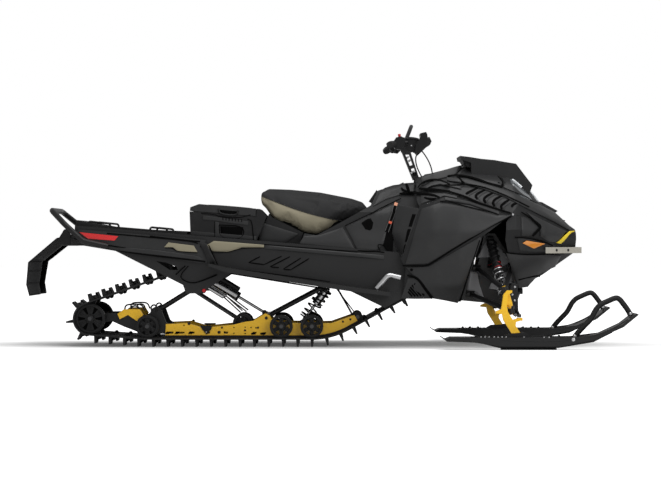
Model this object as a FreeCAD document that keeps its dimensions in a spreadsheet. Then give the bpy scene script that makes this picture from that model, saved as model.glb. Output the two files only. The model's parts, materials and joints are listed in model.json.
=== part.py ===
"""A deep-snow utility snowmobile, full size, in millimetres.

+X points to the front, +Y to the left side, +Z up. The floor is z = 0, and the origin lies on it,
under the middle of the machine's box. Pieces come in mirrored pairs about the plane y = 0.
"""
import FreeCAD, Part
import math
import os
import Sketcher
from FreeCAD import Placement, Rotation, Vector

doc = FreeCAD.newDocument("Snowmobile")
sheet = doc.addObject("Spreadsheet::Sheet", "Sizes")

# Driving sizes, in millimetres, degrees and counts
sizes = {
    "overall_length": 3180,
    # track and its wheels
    "track_width": 500,
    "belt_thickness": 8,
    "lug_height": 38,
    "lug_foot": 18,
    "lug_tip": 9,
    "lug_outer_width": 112,
    "lug_outer_offset": 182,
    "lug_middle_width": 150,
    "lug_middle_height": 25,
    "drive_lug_height": 14,
    "drive_lug_width": 34,
    "drive_lug_offset": 98,
    "track_pitch": 76.2,
    "rear_wheel_radius": 80,
    "rail_wheel_radius": 61,
    "carrier_wheel_radius": 52,
    "sprocket_radius": 80,
    "rail_nose_radius": 400,
    "belt_clearance": 0.6,
    "wheel_width": 30,
    "wheel_tyre_depth": 9,
    "wheel_web": 8,
    "wheel_hub_radius": 19,
    "wheel_hub_width": 36,
    "axle_radius": 10,
    "axle_end": 12,
    "wheel_track_outer": 208,
    "carrier_offset": 136,
    "inner_wheel_offset": 118,
    "fit_gap": 0.3,
    # slide rails and suspension arms
    "rail_track": 166,
    "rail_thickness": 12,
    "rail_nose_run": 62,
    "rail_nose_depth": 34,
    "rail_slot_length": 26,
    "rail_slot_height": 11,
    "nose_roller_radius": 27,
    "nose_roller_offset": 136,
    "runner_height": 12,
    "runner_width": 30,
    "arm_tube_radius": 12,
    "arm_spread": 118,
    "pivot_tube_radius": 15,
    "shock_eye_radius": 14,
    "shock_eye_width": 32,
    "strap_offset": 62,
    "strap_width": 44,
    "strap_thickness": 4,
    "sprocket_inner_offset": 56,
    "sprocket_outer_offset": 140,
    "shock_body_radius": 24,
    "shock_rod_radius": 8,
    "spring_radius": 38,
    "spring_wire": 9,
    # tunnel and running boards
    "tunnel_side_gap": 17,
    "tunnel_wall": 4,
    "cut_over": 20,
    "board_width": 128,
    "board_slot_length": 88,
    "board_slot_width": 74,
    "board_slot_pitch": 124,
    "toe_bar_radius": 13,
    # tail, rack, box, flap
    "tail_panel_depth": 16,
    "lamp_proud": 3,
    "bumper_radius": 15,
    "bumper_bend": 55,
    "bumper_top_half_width": 205,
    "rack_half_width": 236,
    "rack_rail_width": 34,
    "rack_loop_bar": 11,
    "box_half_width": 214,
    "box_wall": 7,
    "box_lid_height": 30,
    "lid_gap": 1.5,
    "lid_hinge_radius": 7,
    "flap_half_width": 218,
    "flap_front_half_width": 122,
    "flap_wall": 9,
    "hitch_bore_radius": 12.7,
    "hitch_plate": 10,
    "hitch_half_width": 34,
    "hitch_drop": 95,
    "hitch_reach": 100,
    "hitch_bore_reach": 78,
    # seat, tank cover, engine
    "seat_half_width": 172,
    "seat_front_half_width": 112,
    "seat_base_half_width": 168,
    "tank_half_width": 288,
    "engine_length": 238,
    "engine_width": 250,
    "engine_height": 190,
    # body shell
    "shell_wall": 5,
    "panel_gap": 0.8,
    "hull_half_width": 400,
    "belly_half_width": 275,
    "nose_room_half_width": 190,
    "frame_half_width": 140,
    "post_room_radius": 46,
    "post_room_depth": 90,
    "frame_wall": 8,
    "rack_tube_radius": 20,
    "leg_shoulder": 200,
    "collar_height": 40,
    "collar_drop": 45,
    "shaft_radius": 12,
    "pin_gap": 0.08,
    "bumper_bar_height": 32,
    "bumper_bar_thickness": 10,
    "bumper_lug_offset": 58,
    "bumper_lug_width": 24,
    # steering
    "post_width": 62,
    "post_collar_radius": 24,
    "bar_radius": 11,
    "bar_half_width": 372,
    "grip_radius": 17,
    "grip_length": 125,
    "bar_bend": 60,
    "bar_elbow": 95,
    "display_width": 130,
    "grab_strap_radius": 7,
    "cable_offset": 18,
    "cable_radius": 3.5,
    "cable_bend": 40,
    "bumper_rear_half_width": 296,
    "bumper_front_half_width": 104,
    # front suspension, spindles and skis
    "ski_stance": 1070,
    "ski_width": 172,
    "ski_deck": 12,
    "ski_rib_thickness": 8,
    "ski_keel_width": 26,
    "ski_loop_radius": 12,
    "ski_loop_bend": 38,
    "runner_rod_radius": 5,
    "ski_bolt_radius": 8,
    "spindle_thickness": 30,
    "tie_lug_width": 28,
    "tie_eye_radius": 11,
    "tie_lug_height": 14,
    "tie_gap": 2.5,
    "tie_rod_travel": 28,
    "ski_side_gap": 6,
    "front_spring_radius": 23,
    "front_shock_reach": 415,
    "spindle_offset": 44,
    "spindle_boss_radius": 19,
    "spindle_boss_height": 30,
    "kingpin_radius": 9,
    "wishbone_radius": 13,
    "tie_rod_radius": 8,
    "tie_rod_boot_radius": 20,
}
counts = {"wheel_windows": 6, "board_slot_count": 5, "spring_turns": 8}

for row, (alias, number) in enumerate({**sizes, **counts}.items(), start=1):
    sheet.set(f"A{row}", alias)
    sheet.set(f"B{row}", str(number))
    sheet.setAlias(f"B{row}", alias)
doc.recompute()


class Size:
    """A length worked out from the sheet: its number now, and the expression that binds a feature to it."""

    def __init__(self, number, words):
        self.number = float(number)
        self.words = words

    @staticmethod
    def of(other):
        return other if isinstance(other, Size) else Size(other, repr(other))

    def __add__(self, other):
        other = Size.of(other)
        return Size(self.number + other.number, f"({self.words} + {other.words})")

    def __sub__(self, other):
        other = Size.of(other)
        return Size(self.number - other.number, f"({self.words} - {other.words})")

    def __mul__(self, other):
        other = Size.of(other)
        return Size(self.number * other.number, f"({self.words} * {other.words})")

    def __truediv__(self, other):
        other = Size.of(other)
        return Size(self.number / other.number, f"({self.words} / {other.words})")

    def __rsub__(self, other):
        return Size.of(other) - self

    def __neg__(self):
        return self * -1

    def __float__(self):
        return self.number

    __radd__ = __add__
    __rmul__ = __mul__


class Sheet:
    """size.name is the named cell, as a Size."""

    def __getattr__(self, alias):
        return Size(getattr(sheet, alias), f"Sizes.{alias}")


size = Sheet()
zero = Size(0, "0")
finished = {}


# Photograph: pixel positions of the side view, and what they say in millimetres

centre_px = 330.5
horizon_px = 240.0
ground_px = 347.0
length_px = 588.9
middle_share = 0.0061
view_distance_share = 3.52

mm_per_px = size.overall_length / length_px
view_distance = size.overall_length * view_distance_share
track_half = size.track_width / 2


def scale_at(lateral):
    """Millimetres per pixel in the vertical plane that lies this far left of the middle."""
    return mm_per_px * (1 + lateral / view_distance)


camera_height = (ground_px - horizon_px) * scale_at(-track_half)


def side(u, v, lateral=zero):
    """The x and z that a pixel of the side view shows, in the plane at that lateral place."""
    scale = scale_at(lateral)
    x = size.overall_length * middle_share + (u - centre_px) * scale
    return x, camera_height + (horizon_px - v) * scale


def outline_at(pixels, lateral=zero):
    return [side(u, v, lateral) for u, v in pixels]


# Document helpers

def new_body(label):
    body = doc.addObject("PartDesign::Body", label)
    body.Label = label
    return body


def sketch_on(body, plane, offset=zero):
    """A sketch on one of the body's origin planes, moved along that plane's normal by offset."""
    sketch = body.newObject("Sketcher::SketchObject", "Sketch")
    support = next(f for f in body.Origin.OriginFeatures if f.Role == plane)
    sketch.AttachmentSupport = [(support, "")]
    sketch.MapMode = "FlatFace"
    sketch.AttachmentOffset = Placement(Vector(0, 0, float(offset)), Rotation())
    sketch.setExpression("AttachmentOffset.Base.z", offset.words)
    return sketch


def bind(sketch, kind, geometry, point, length):
    index = sketch.addConstraint(Sketcher.Constraint(kind, geometry, point, float(length)))
    sketch.setExpression(f"Constraints[{index}]", length.words)


def arc_centre(start, end, bow):
    """The centre of the short arc from start to end. A positive bow has it on the left of the way."""
    chord = end - start
    normal = Vector(-chord.y, chord.x, 0).normalize()
    reach = math.sqrt(bow ** 2 - (chord.Length / 2) ** 2)
    return start + chord / 2 + normal * math.copysign(reach, bow)


def draw_outline(sketch, points):
    """A closed outline. Each corner is bound to its two sizes, and a third says that an arc of that radius
    follows, with its centre on the left of the way for a positive one."""
    first = sketch.GeometryCount
    corners = [Vector(float(entry[0]), float(entry[1]), 0) for entry in points]
    total = len(points)
    ends = []
    for i, entry in enumerate(points):
        start = corners[i]
        end = corners[(i + 1) % total]
        if len(entry) == 2:
            sketch.addGeometry(Part.LineSegment(start, end), False)
            ends.append((1, 2))
            continue
        bow = float(entry[2])
        centre = arc_centre(start, end, bow)
        circle = Part.Circle(centre, Vector(0, 0, 1), abs(bow))
        low, high = (start, end) if bow > 0 else (end, start)
        low_angle = math.atan2(low.y - centre.y, low.x - centre.x)
        high_angle = math.atan2(high.y - centre.y, high.x - centre.x)
        if high_angle < low_angle:
            high_angle += 2 * math.pi
        sketch.addGeometry(Part.ArcOfCircle(circle, low_angle, high_angle), False)
        ends.append((1, 2) if bow > 0 else (2, 1))
    for i, entry in enumerate(points):
        after = (i + 1) % total
        leave = ends[i][1]
        enter = ends[after][0]
        sketch.addConstraint(Sketcher.Constraint("Coincident", first + i, leave, first + after, enter))
        bind(sketch, "DistanceX", first + i, ends[i][0], entry[0])
        bind(sketch, "DistanceY", first + i, ends[i][0], entry[1])
        if len(entry) == 3:
            radius = entry[2] if float(entry[2]) > 0 else -entry[2]
            bow = sketch.addConstraint(Sketcher.Constraint("Radius", first + i, float(radius)))
            sketch.setExpression(f"Constraints[{bow}]", radius.words)
    return sketch


def draw_circle(sketch, x, y, radius):
    centre = Vector(float(x), float(y), 0)
    index = sketch.addGeometry(Part.Circle(centre, Vector(0, 0, 1), float(radius)), False)
    bind(sketch, "DistanceX", index, 3, x)
    bind(sketch, "DistanceY", index, 3, y)
    ring = sketch.addConstraint(Sketcher.Constraint("Radius", index, float(radius)))
    sketch.setExpression(f"Constraints[{ring}]", radius.words)
    return sketch


def pad(body, sketch, length, middle=True, name="Pad"):
    feature = body.newObject("PartDesign::Pad", name)
    feature.Profile = sketch
    feature.Midplane = middle
    feature.setExpression("Length", Size.of(length).words)
    return feature


def pocket(body, sketch, length, middle=True, name="Pocket"):
    feature = body.newObject("PartDesign::Pocket", name)
    feature.Profile = sketch
    feature.Midplane = middle
    feature.setExpression("Length", Size.of(length).words)
    return feature


def revolve(body, sketch, axis="H_Axis"):
    feature = body.newObject("PartDesign::Revolution", "Revolution")
    feature.Profile = sketch
    feature.ReferenceAxis = (sketch, [axis])
    feature.Angle = 360
    return feature


def place(thing, x=zero, y=zero, z=zero):
    for key, length in (("x", x), ("y", y), ("z", z)):
        thing.setExpression(f"Placement.Base.{key}", Size.of(length).words)
    return thing


def plate(label, points, thickness, lateral=zero):
    """A flat plate parallel to the middle plane, from a side outline. lateral is the place of its middle."""
    body = new_body(label)
    sketch = draw_outline(sketch_on(body, "XZ_Plane", -lateral), points)
    pad(body, sketch, thickness)
    return body


def mirrored(source, label):
    twin = doc.addObject("Part::Mirroring", label)
    twin.Label = label
    twin.Source = source
    twin.Normal = Vector(0, 1, 0)
    return twin


def joined(label, kind, things):
    """One document object for several: kind is Compound, MultiFuse or MultiCommon."""
    group = doc.addObject(f"Part::{kind}", label)
    group.Label = label
    if kind == "Compound":
        group.Links = things
    else:
        group.Shapes = things
    return group


def cut(label, base, tool):
    result = doc.addObject("Part::Cut", label)
    result.Label = label
    result.Base = base
    result.Tool = tool
    return result


def common(label, base, tool):
    result = doc.addObject("Part::Common", label)
    result.Label = label
    result.Base = base
    result.Tool = tool
    return result


def feature(label, shape):
    thing = doc.addObject("Part::Feature", label)
    thing.Label = label
    thing.Shape = shape
    return thing


def finish(thing):
    """Marks an object as a sub-part, written to a file named by its Label."""
    finished[thing.Label] = thing
    return thing


def both_sides(source, right_label, left_label):
    """Keeps a right-hand piece and its mirror image as two sub-parts."""
    source.Label = right_label
    finish(source)
    return source, finish(mirrored(source, left_label))


def pair(label, source):
    """One sub-part that holds a piece and its mirror image."""
    return finish(joined(label, "Compound", [source, mirrored(source, label + "_mirror")]))


def point(x, y, z):
    return Vector(float(x), float(y), float(z))


def rod(start, end, radius):
    """A straight round bar between two points."""
    run = end - start
    return Part.makeCylinder(float(radius), run.Length, start, run)


def bent_wire(points, bend):
    """A path of straight runs joined by tangent arcs, all of one radius."""
    edges = []
    last = points[0]
    for before, corner, after in zip(points, points[1:], points[2:]):
        back = (before - corner).normalize()
        ahead = (after - corner).normalize()
        half = back.getAngle(ahead) / 2
        reach = float(bend) / math.tan(half)
        inward = (back + ahead).normalize()
        centre = corner + inward * (float(bend) / math.sin(half))
        entry = corner + back * reach
        leave = corner + ahead * reach
        middle = centre - inward * float(bend)
        edges.append(Part.LineSegment(last, entry).toShape())
        edges.append(Part.Arc(entry, middle, leave).toShape())
        last = leave
    edges.append(Part.LineSegment(last, points[-1]).toShape())
    return Part.Wire(edges)


def bent_tube(points, radius, bend):
    """A round bar swept along a bent path."""
    path = bent_wire(points, bend)
    start = points[0]
    ring = Part.Wire(Part.makeCircle(float(radius), start, points[1] - start))
    return path.makePipeShell([ring], True, False)


# Track: the belt's inner line is tangent to the wheels, the rails' noses and the drive sprockets

rear_wheel_px = (90.4, 318.6)
carrier_px = (192.3, 277.0)
sprocket_px = (399.6, 283.3)
nose_start_px = 312.0
rail_wheels_px = (147.5, 281.3, 311.8)

belt_inside = size.lug_height + size.belt_thickness
ride_radius = size.rail_wheel_radius + size.belt_clearance
wheel_lateral = -size.wheel_track_outer
rear_axle = side(*rear_wheel_px, wheel_lateral)
carrier_axle = side(*carrier_px, wheel_lateral)
drive_axle = side(*sprocket_px, -track_half)
nose_x = side(nose_start_px, ground_px, wheel_lateral)[0]
rail_axles = [(side(u, ground_px, wheel_lateral)[0], belt_inside + ride_radius) for u in rail_wheels_px]

# Each round that the belt bends about: its centre and the belt's inner radius there
rounds = [
    (rail_axles[0], ride_radius),
    ((nose_x, belt_inside + size.rail_nose_radius), size.rail_nose_radius),
    (drive_axle, size.sprocket_radius + size.belt_clearance),
    (carrier_axle, size.carrier_wheel_radius + size.belt_clearance),
    (rear_axle, size.rear_wheel_radius + size.belt_clearance),
]


def flat_point(pair):
    return Vector(float(pair[0]), 0, float(pair[1]))


def outer_normal(here, there):
    """The outward normal of the belt run from one round to the next, both on the run's left."""
    (centre, radius), (other, far_radius) = here, there
    run = flat_point(other) - flat_point(centre)
    along = math.atan2(run.z, run.x)
    lean = math.asin((float(radius) - float(far_radius)) / run.Length)
    angle = along - math.pi / 2 + lean
    return Vector(math.cos(angle), 0, math.sin(angle))


def belt_runs(offset):
    """The straight runs and the arcs of the loop, this far outside the belt's inner line."""
    total = len(rounds)
    normals = [outer_normal(rounds[i], rounds[(i + 1) % total]) for i in range(total)]
    edges = []
    for i in range(total):
        after = (i + 1) % total
        centre = flat_point(rounds[i][0])
        next_centre = flat_point(rounds[after][0])
        radius = float(rounds[i][1]) + offset
        next_radius = float(rounds[after][1]) + offset
        before = normals[i - 1]
        middle = (before + normals[i]).normalize()
        if before.dot(normals[i]) < 0:
            middle = Vector(-before.z, 0, before.x)
        entry = centre + before * radius
        leave = centre + normals[i] * radius
        if before.getAngle(normals[i]) > math.radians(1):
            edges.append(Part.Arc(entry, centre + middle * radius, leave).toShape())
        edges.append(Part.LineSegment(leave, next_centre + normals[i] * next_radius).toShape())
    return edges


def belt_face(inner_offset, outer_offset):
    outer = Part.Wire(Part.__sortEdges__(belt_runs(outer_offset)))
    inner = Part.Wire(Part.__sortEdges__(belt_runs(inner_offset)))
    return Part.Face(outer).cut(Part.Face(inner))


def wedge(foot, tip, height, width):
    """A block that narrows from its foot to its tip, standing on z = 0 and centred on the origin."""
    corners = [(-foot / 2, 0), (foot / 2, 0), (tip / 2, height), (-tip / 2, height)]
    ring = [Vector(x, -width / 2, z) for x, z in corners]
    return Part.Face(Part.makePolygon(ring + ring[:1])).extrude(Vector(0, width, 0))


def make_track():
    half = float(track_half)
    thick = float(size.belt_thickness)
    belt = belt_face(0, thick)
    belt.translate(Vector(0, -half, 0))
    belt = belt.extrude(Vector(0, 2 * half, 0))
    path = belt_runs(thick / 2)
    lengths = [edge.Length for edge in path]
    loop = sum(lengths)
    teeth = round(loop / float(size.track_pitch))
    sink = thick / 4
    shift = float(size.lug_outer_offset)
    foot = float(size.lug_foot)
    tip = float(size.lug_tip)
    outer_lug = wedge(foot, tip, float(size.lug_height) + sink, float(size.lug_outer_width))
    middle_lug = wedge(foot, tip, float(size.lug_middle_height) + sink, float(size.lug_middle_width))
    drive_wide = float(size.drive_lug_width)
    drive_lug = wedge(drive_wide, tip, float(size.drive_lug_height) + sink, drive_wide)
    parts = []
    for tooth in range(teeth):
        reach = (tooth + 0.5) * loop / teeth
        index = 0
        while reach > lengths[index]:
            reach -= lengths[index]
            index += 1
        edge = path[index]
        turned = edge.getParameterByLength(reach)
        where = edge.valueAt(turned)
        tangent = edge.tangentAt(turned)
        if edge.Orientation == "Reversed":
            tangent = -tangent
        outward = Vector(tangent.z, 0, -tangent.x)
        angle = math.degrees(math.atan2(outward.x, outward.z))
        for lateral, kind in ((-shift, outer_lug), (0, middle_lug), (shift, outer_lug)):
            piece = kind.copy()
            piece.Placement = Placement(where + outward * (thick / 2 - sink) + Vector(0, lateral, 0),
                                        Rotation(Vector(0, 1, 0), angle))
            parts.append(piece)
        for lateral in (-float(size.drive_lug_offset), float(size.drive_lug_offset)):
            piece = drive_lug.copy()
            piece.Placement = Placement(where - outward * (thick / 2 - sink) + Vector(0, lateral, 0),
                                        Rotation(Vector(0, 1, 0), angle + 180))
            parts.append(piece)
    return belt.multiFuse(parts)


finish(feature("track", make_track()))


# Wheels: a rubber-tyred disc with windows between its spokes

window_flare_share = 1.4


def wheel(label, radius):
    """A wheel about the Y axis, in the middle of the frame: tyre, thin web, hub and spoke windows."""
    body = new_body(label)
    half = size.wheel_width / 2
    web = size.wheel_web / 2
    hub = size.wheel_hub_width / 2
    bore = size.axle_radius + size.fit_gap
    rim = radius - size.wheel_tyre_depth
    profile = sketch_on(body, "XY_Plane")
    boss = size.wheel_hub_radius
    draw_outline(profile, [(bore, -hub), (boss, -hub), (boss, -web), (rim, -web), (rim, -half),
                           (radius, -half), (radius, half), (rim, half), (rim, web), (boss, web),
                           (boss, hub), (bore, hub)])
    revolve(body, profile, "V_Axis")
    inner = size.wheel_hub_radius + size.wheel_web
    outer = rim - size.wheel_web
    narrow = size.wheel_web / 2
    wide = size.wheel_web * window_flare_share
    opening = sketch_on(body, "XZ_Plane")
    draw_outline(opening, [(inner, -narrow), (outer, -wide), (outer, wide), (inner, narrow)])
    window = pocket(body, opening, size.wheel_width)
    pattern = body.newObject("PartDesign::PolarPattern", "Windows")
    pattern.Originals = [window]
    pattern.Axis = (opening, ["N_Axis"])
    pattern.Angle = 360
    pattern.setExpression("Occurrences", "Sizes.wheel_windows")
    body.Tip = pattern
    return body


def wheel_set(label, kind, axles):
    """Copies of one wheel on the right and left, at each axle given as (x, z, lateral)."""
    copies = []
    for x, z, lateral in axles:
        for sign in (-1, 1):
            link = doc.addObject("App::Link", label + "_copy")
            link.LinkedObject = kind
            place(link, x, lateral * sign, z)
            copies.append(link)
    return copies


doc.recompute()


rear_wheel = wheel("rear_wheel", size.rear_wheel_radius)
rail_wheel = wheel("rail_wheel", size.rail_wheel_radius)
carrier_wheel = wheel("carrier_wheel", size.carrier_wheel_radius)
nose_roller = new_body("nose_roller")
roller_face = draw_circle(sketch_on(nose_roller, "XZ_Plane"), zero, zero, size.nose_roller_radius)
pad(nose_roller, draw_circle(roller_face, zero, zero, size.axle_radius + size.fit_gap), size.wheel_width)

inner_wheel_px = (242.6, 323.2)
nose_roller_px = (357.6, 316.8)
inner_wheel = side(*inner_wheel_px, -size.inner_wheel_offset)
nose_roller_axle = side(*nose_roller_px, -size.nose_roller_offset)
outer = size.wheel_track_outer
rail_set = wheel_set("rear_wheel", rear_wheel, [(*rear_axle, outer)])
rail_set += wheel_set("rail_wheel", rail_wheel, [(*axle, outer) for axle in rail_axles])
finish(joined("rail_wheels", "Compound", rail_set))
carrier_places = [(*carrier_axle, size.carrier_offset), (*inner_wheel, size.inner_wheel_offset)]
idler_set = wheel_set("carrier_wheel", carrier_wheel, carrier_places)
idler_set += wheel_set("nose_roller", nose_roller, [(*nose_roller_axle, size.nose_roller_offset)])
finish(joined("idler_wheels", "Compound", idler_set))


def axle_rod(label, centre, half_length):
    """A round axle across the machine."""
    rod_shape = doc.addObject("Part::Cylinder", label)
    rod_shape.Label = label
    rod_shape.setExpression("Radius", size.axle_radius.words)
    rod_shape.setExpression("Height", (half_length * 2).words)
    rod_shape.Placement.Rotation = Rotation(Vector(1, 0, 0), 90)
    return place(rod_shape, centre[0], half_length, centre[1])


wheel_end = size.wheel_track_outer + size.wheel_hub_width / 2 + size.axle_end
axles = [axle_rod("rear_axle", rear_axle, wheel_end)]
axles += [axle_rod(f"rail_axle_{i}", centre, wheel_end) for i, centre in enumerate(rail_axles)]
rail_inside = size.rail_track - size.rail_thickness / 2 - size.fit_gap
axles += [axle_rod("inner_axle", inner_wheel, rail_inside)]
axles += [axle_rod("roller_axle", nose_roller_axle, rail_inside)]


# Slide rails, with the shoes that slide on the belt, and what they carry

rail_top_px = (
    (331.5, 323.0), (320.0, 323.2), (273.5, 322.6), (270.0, 315.5), (265.5, 313.2), (253.0, 320.8),
    (246.0, 321.6), (234.0, 324.5), (204.0, 327.8), (188.0, 323.0), (166.0, 324.0),
)
rail_rear_px = 165.5
rail_slot_px = ((171.5, 332.5), (181.5, 332.5), (192.5, 332.5), (208.0, 332.5), (226.0, 332.5),
                (253.5, 333.5), (262.5, 333.5))

rail_lateral = -size.rail_track
runner_low = belt_inside + size.belt_clearance
rail_low = runner_low + size.runner_height
nose_centre = (nose_x, belt_inside + size.rail_nose_radius)
nose_leave = outer_normal(rounds[1], rounds[2])


def along_nose(rise):
    """Where the arc ends that runs this high above the belt's inner line, round the nose's centre."""
    radius = size.rail_nose_radius - rise
    return nose_x + radius * nose_leave.x, nose_centre[1] + radius * nose_leave.z, radius


rail_rear = side(rail_rear_px, ground_px, rail_lateral)[0]
tip_x, tip_z, rail_radius = along_nose(size.belt_clearance + size.runner_height)
ahead = (Size(-nose_leave.z, repr(-nose_leave.z)), Size(nose_leave.x, repr(nose_leave.x)))
nose_run = size.rail_nose_run


def nose_end(rise):
    """The end of the straight stretch ahead of the nose's arc."""
    x, z, radius = along_nose(rise)
    return x + nose_run * ahead[0], z + nose_run * ahead[1]


rail_rise = size.belt_clearance + size.runner_height
rail_outline = [(rail_rear, rail_low), (nose_x, rail_low, rail_radius), (tip_x, tip_z), nose_end(rail_rise),
                nose_end(rail_rise + size.rail_nose_depth)] + outline_at(rail_top_px, rail_lateral)
rail = new_body("rail")
pad(rail, draw_outline(sketch_on(rail, "XZ_Plane", -rail_lateral), rail_outline), size.rail_thickness)
for index, (u, v) in enumerate(rail_slot_px):
    x, z = side(u, v, rail_lateral)
    long = size.rail_slot_length / 2
    high = size.rail_slot_height / 2
    lean = high / 2
    corners = [(x - long, z - high), (x + long - lean, z - high), (x + long, z + high),
               (x - long + lean, z + high)]
    slot = draw_outline(sketch_on(rail, "XZ_Plane", -rail_lateral), corners)
    pocket(rail, slot, size.rail_thickness * 2)
for centre in rail_axles[1:]:
    hole = draw_circle(sketch_on(rail, "XZ_Plane", -rail_lateral), *centre, size.axle_radius + size.fit_gap)
    pocket(rail, hole, size.rail_thickness * 2)
bracket_px = ((117.6, 314.0), (124.0, 309.2), (140.0, 309.2), (143.5, 314.5), (139.0, 321.5), (137.2, 321.0),
              (128.0, 314.8), (120.0, 319.2))
bracket = plate("rear_bracket", outline_at(bracket_px, rail_lateral), size.rail_thickness, rail_lateral)
finish(joined("slide_rails", "Compound", [rail, mirrored(rail, "rail_mirror"), bracket,
                                          mirrored(bracket, "bracket_mirror")]))

shoe_x, shoe_z, shoe_radius = along_nose(size.belt_clearance)
shoe_high = size.belt_clearance + size.runner_height - size.fit_gap
shoe_top_x, shoe_top_z, shoe_top_radius = along_nose(shoe_high)
shoe = new_body("slide_shoe")
shoe_outline = [(rail_rear, runner_low), (nose_x, runner_low, shoe_radius), (shoe_x, shoe_z),
                nose_end(size.belt_clearance), nose_end(shoe_high),
                (shoe_top_x, shoe_top_z, -shoe_top_radius), (nose_x, belt_inside + shoe_high),
                (rail_rear, belt_inside + shoe_high)]
pad(shoe, draw_outline(sketch_on(shoe, "XZ_Plane", -rail_lateral), shoe_outline), size.runner_width)
pair("slide_shoes", shoe)

link_px = ((83.0, 316.0), (90.0, 313.4), (105.5, 313.2), (117.0, 313.0), (128.0, 316.0), (148.0, 318.0),
           (152.0, 308.5), (156.3, 306.0), (161.0, 308.5), (166.0, 322.0), (172.0, 326.0), (172.0, 334.0),
           (141.0, 333.0), (124.0, 326.5), (112.0, 321.0), (96.0, 324.0), (86.0, 323.0))
rear_arm_low_px = (156.3, 311.0)
link_lateral = rail_lateral + size.rail_thickness + size.fit_gap
rear_arm_low = side(*rear_arm_low_px, link_lateral)
link = plate("axle_link", outline_at(link_px, link_lateral), size.rail_thickness, link_lateral)
for centre in (rear_axle, rail_axles[0]):
    hole = draw_circle(sketch_on(link, "XZ_Plane", -link_lateral), *centre, size.axle_radius + size.fit_gap)
    pocket(link, hole, size.rail_thickness * 2)
pair("axle_links", link)


# Suspension arms, shocks and straps inside the track

def cross_tube(centre, half_length, radius):
    """A round bar across the machine, about a centre given as x and z."""
    x, z = centre
    return rod(point(x, -half_length, z), point(x, half_length, z), radius)


def fused(shapes):
    return shapes[0].multiFuse(shapes[1:])


def arm_frame(top, bottom, top_half, bottom_half):
    """Two side tubes between an upper and a lower cross tube, with a brace across them."""
    spread = size.arm_spread
    tubes = [cross_tube(top, top_half, size.pivot_tube_radius)]
    tubes.append(cross_tube(bottom, bottom_half, size.pivot_tube_radius))
    for sign in (-1, 1):
        tubes.append(rod(point(top[0], spread * sign, top[1]), point(bottom[0], spread * sign, bottom[1]),
                         size.arm_tube_radius))
    middle = ((top[0] + bottom[0]) / 2, (top[1] + bottom[1]) / 2)
    tubes.append(cross_tube(middle, spread, size.axle_radius))
    return fused(tubes)


front_arm_top_px = (331.6, 282.6)
front_arm_low_px = (268.6, 316.0)
rear_arm_top_px = (191.0, 289.6)
tunnel_inside = track_half + size.tunnel_side_gap
link_inside = -link_lateral - size.rail_thickness / 2 - size.fit_gap
front_arm_top = side(*front_arm_top_px, -size.arm_spread)
front_arm_low = side(*front_arm_low_px, -size.arm_spread)
rear_arm_top = side(*rear_arm_top_px, -size.arm_spread)
arms = [arm_frame(front_arm_top, front_arm_low, tunnel_inside - size.fit_gap, rail_inside),
        arm_frame(rear_arm_top, rear_arm_low, tunnel_inside - size.fit_gap, link_inside)]
finish(feature("suspension_arms", Part.makeCompound(arms)))


def coils(start, end, radius):
    """The turns of a coil spring, drawn as level rings from one end to the other."""
    turns = int(counts["spring_turns"])
    run = end - start
    half_wire = run.normalize() * (float(size.spring_wire) / 2)
    run = end - start
    rings = []
    for turn in range(turns + 1):
        centre = start + run * (turn / turns)
        rings.append(rod(centre - half_wire, centre + half_wire, radius))
    return rings


def shock(top, bottom, lateral, spring=True):
    """A gas shock between two eyes across the machine, with its body above, its rod below and a coil."""
    high = point(top[0], lateral, top[1])
    low = point(bottom[0], lateral, bottom[1])
    run = low - high
    step = run.normalize()
    length = (low - high).Length
    eye = float(size.shock_eye_radius)
    half = Vector(0, float(size.shock_eye_width) / 2, 0)
    split = high + step * (length * shock_body_share)
    parts = [rod(high - half, high + half, eye), rod(low - half, low + half, eye),
             rod(high, split, size.shock_body_radius), rod(split, low, size.shock_rod_radius)]
    if spring:
        parts += coils(high + step * (eye * 2), low - step * (eye * 2), size.spring_radius)
    return fused(parts)


shock_body_share = 0.52
centre_shock_low_px = (302.3, 322.0)
rear_shock_top_px = (211.5, 281.4)
rear_rod_top_px = (203.0, 291.5)
arm_reach = size.pivot_tube_radius + size.shock_eye_radius + size.fit_gap
centre_shock_low = side(*centre_shock_low_px)


def beside(centre, toward, reach):
    """The place on the way from one centre to another that is this far from the first."""
    run = flat_point(toward) - flat_point(centre)
    step = run.normalize()
    return centre[0] + reach * step.x, centre[1] + reach * step.z


centre_shock_top = beside(front_arm_top, centre_shock_low, arm_reach)
rear_shock_low = beside(front_arm_low, side(*rear_shock_top_px), arm_reach)
rear_shock_top = beside(rear_arm_top, side(*rear_shock_top_px), arm_reach)
low_rod = cross_tube(centre_shock_low, rail_inside, size.shock_rod_radius)
centre_shock = shock(centre_shock_top, centre_shock_low, zero).fuse(low_rod)
rear_shock = shock(rear_shock_top, rear_shock_low, zero, False)
finish(feature("skid_shocks", Part.makeCompound([centre_shock, rear_shock])))


def flat_bar(start, end, width, thickness):
    """A flat strap between two places, its width across the machine."""
    run = end - start
    lift = Vector(run.z, 0, -run.x).normalize() * (float(thickness) / 2)
    reach = Vector(0, float(width) / 2, 0)
    ring = [start - reach - lift, start + reach - lift, start + reach + lift, start - reach + lift]
    return Part.Face(Part.makePolygon(ring + ring[:1])).extrude(run)


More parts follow.
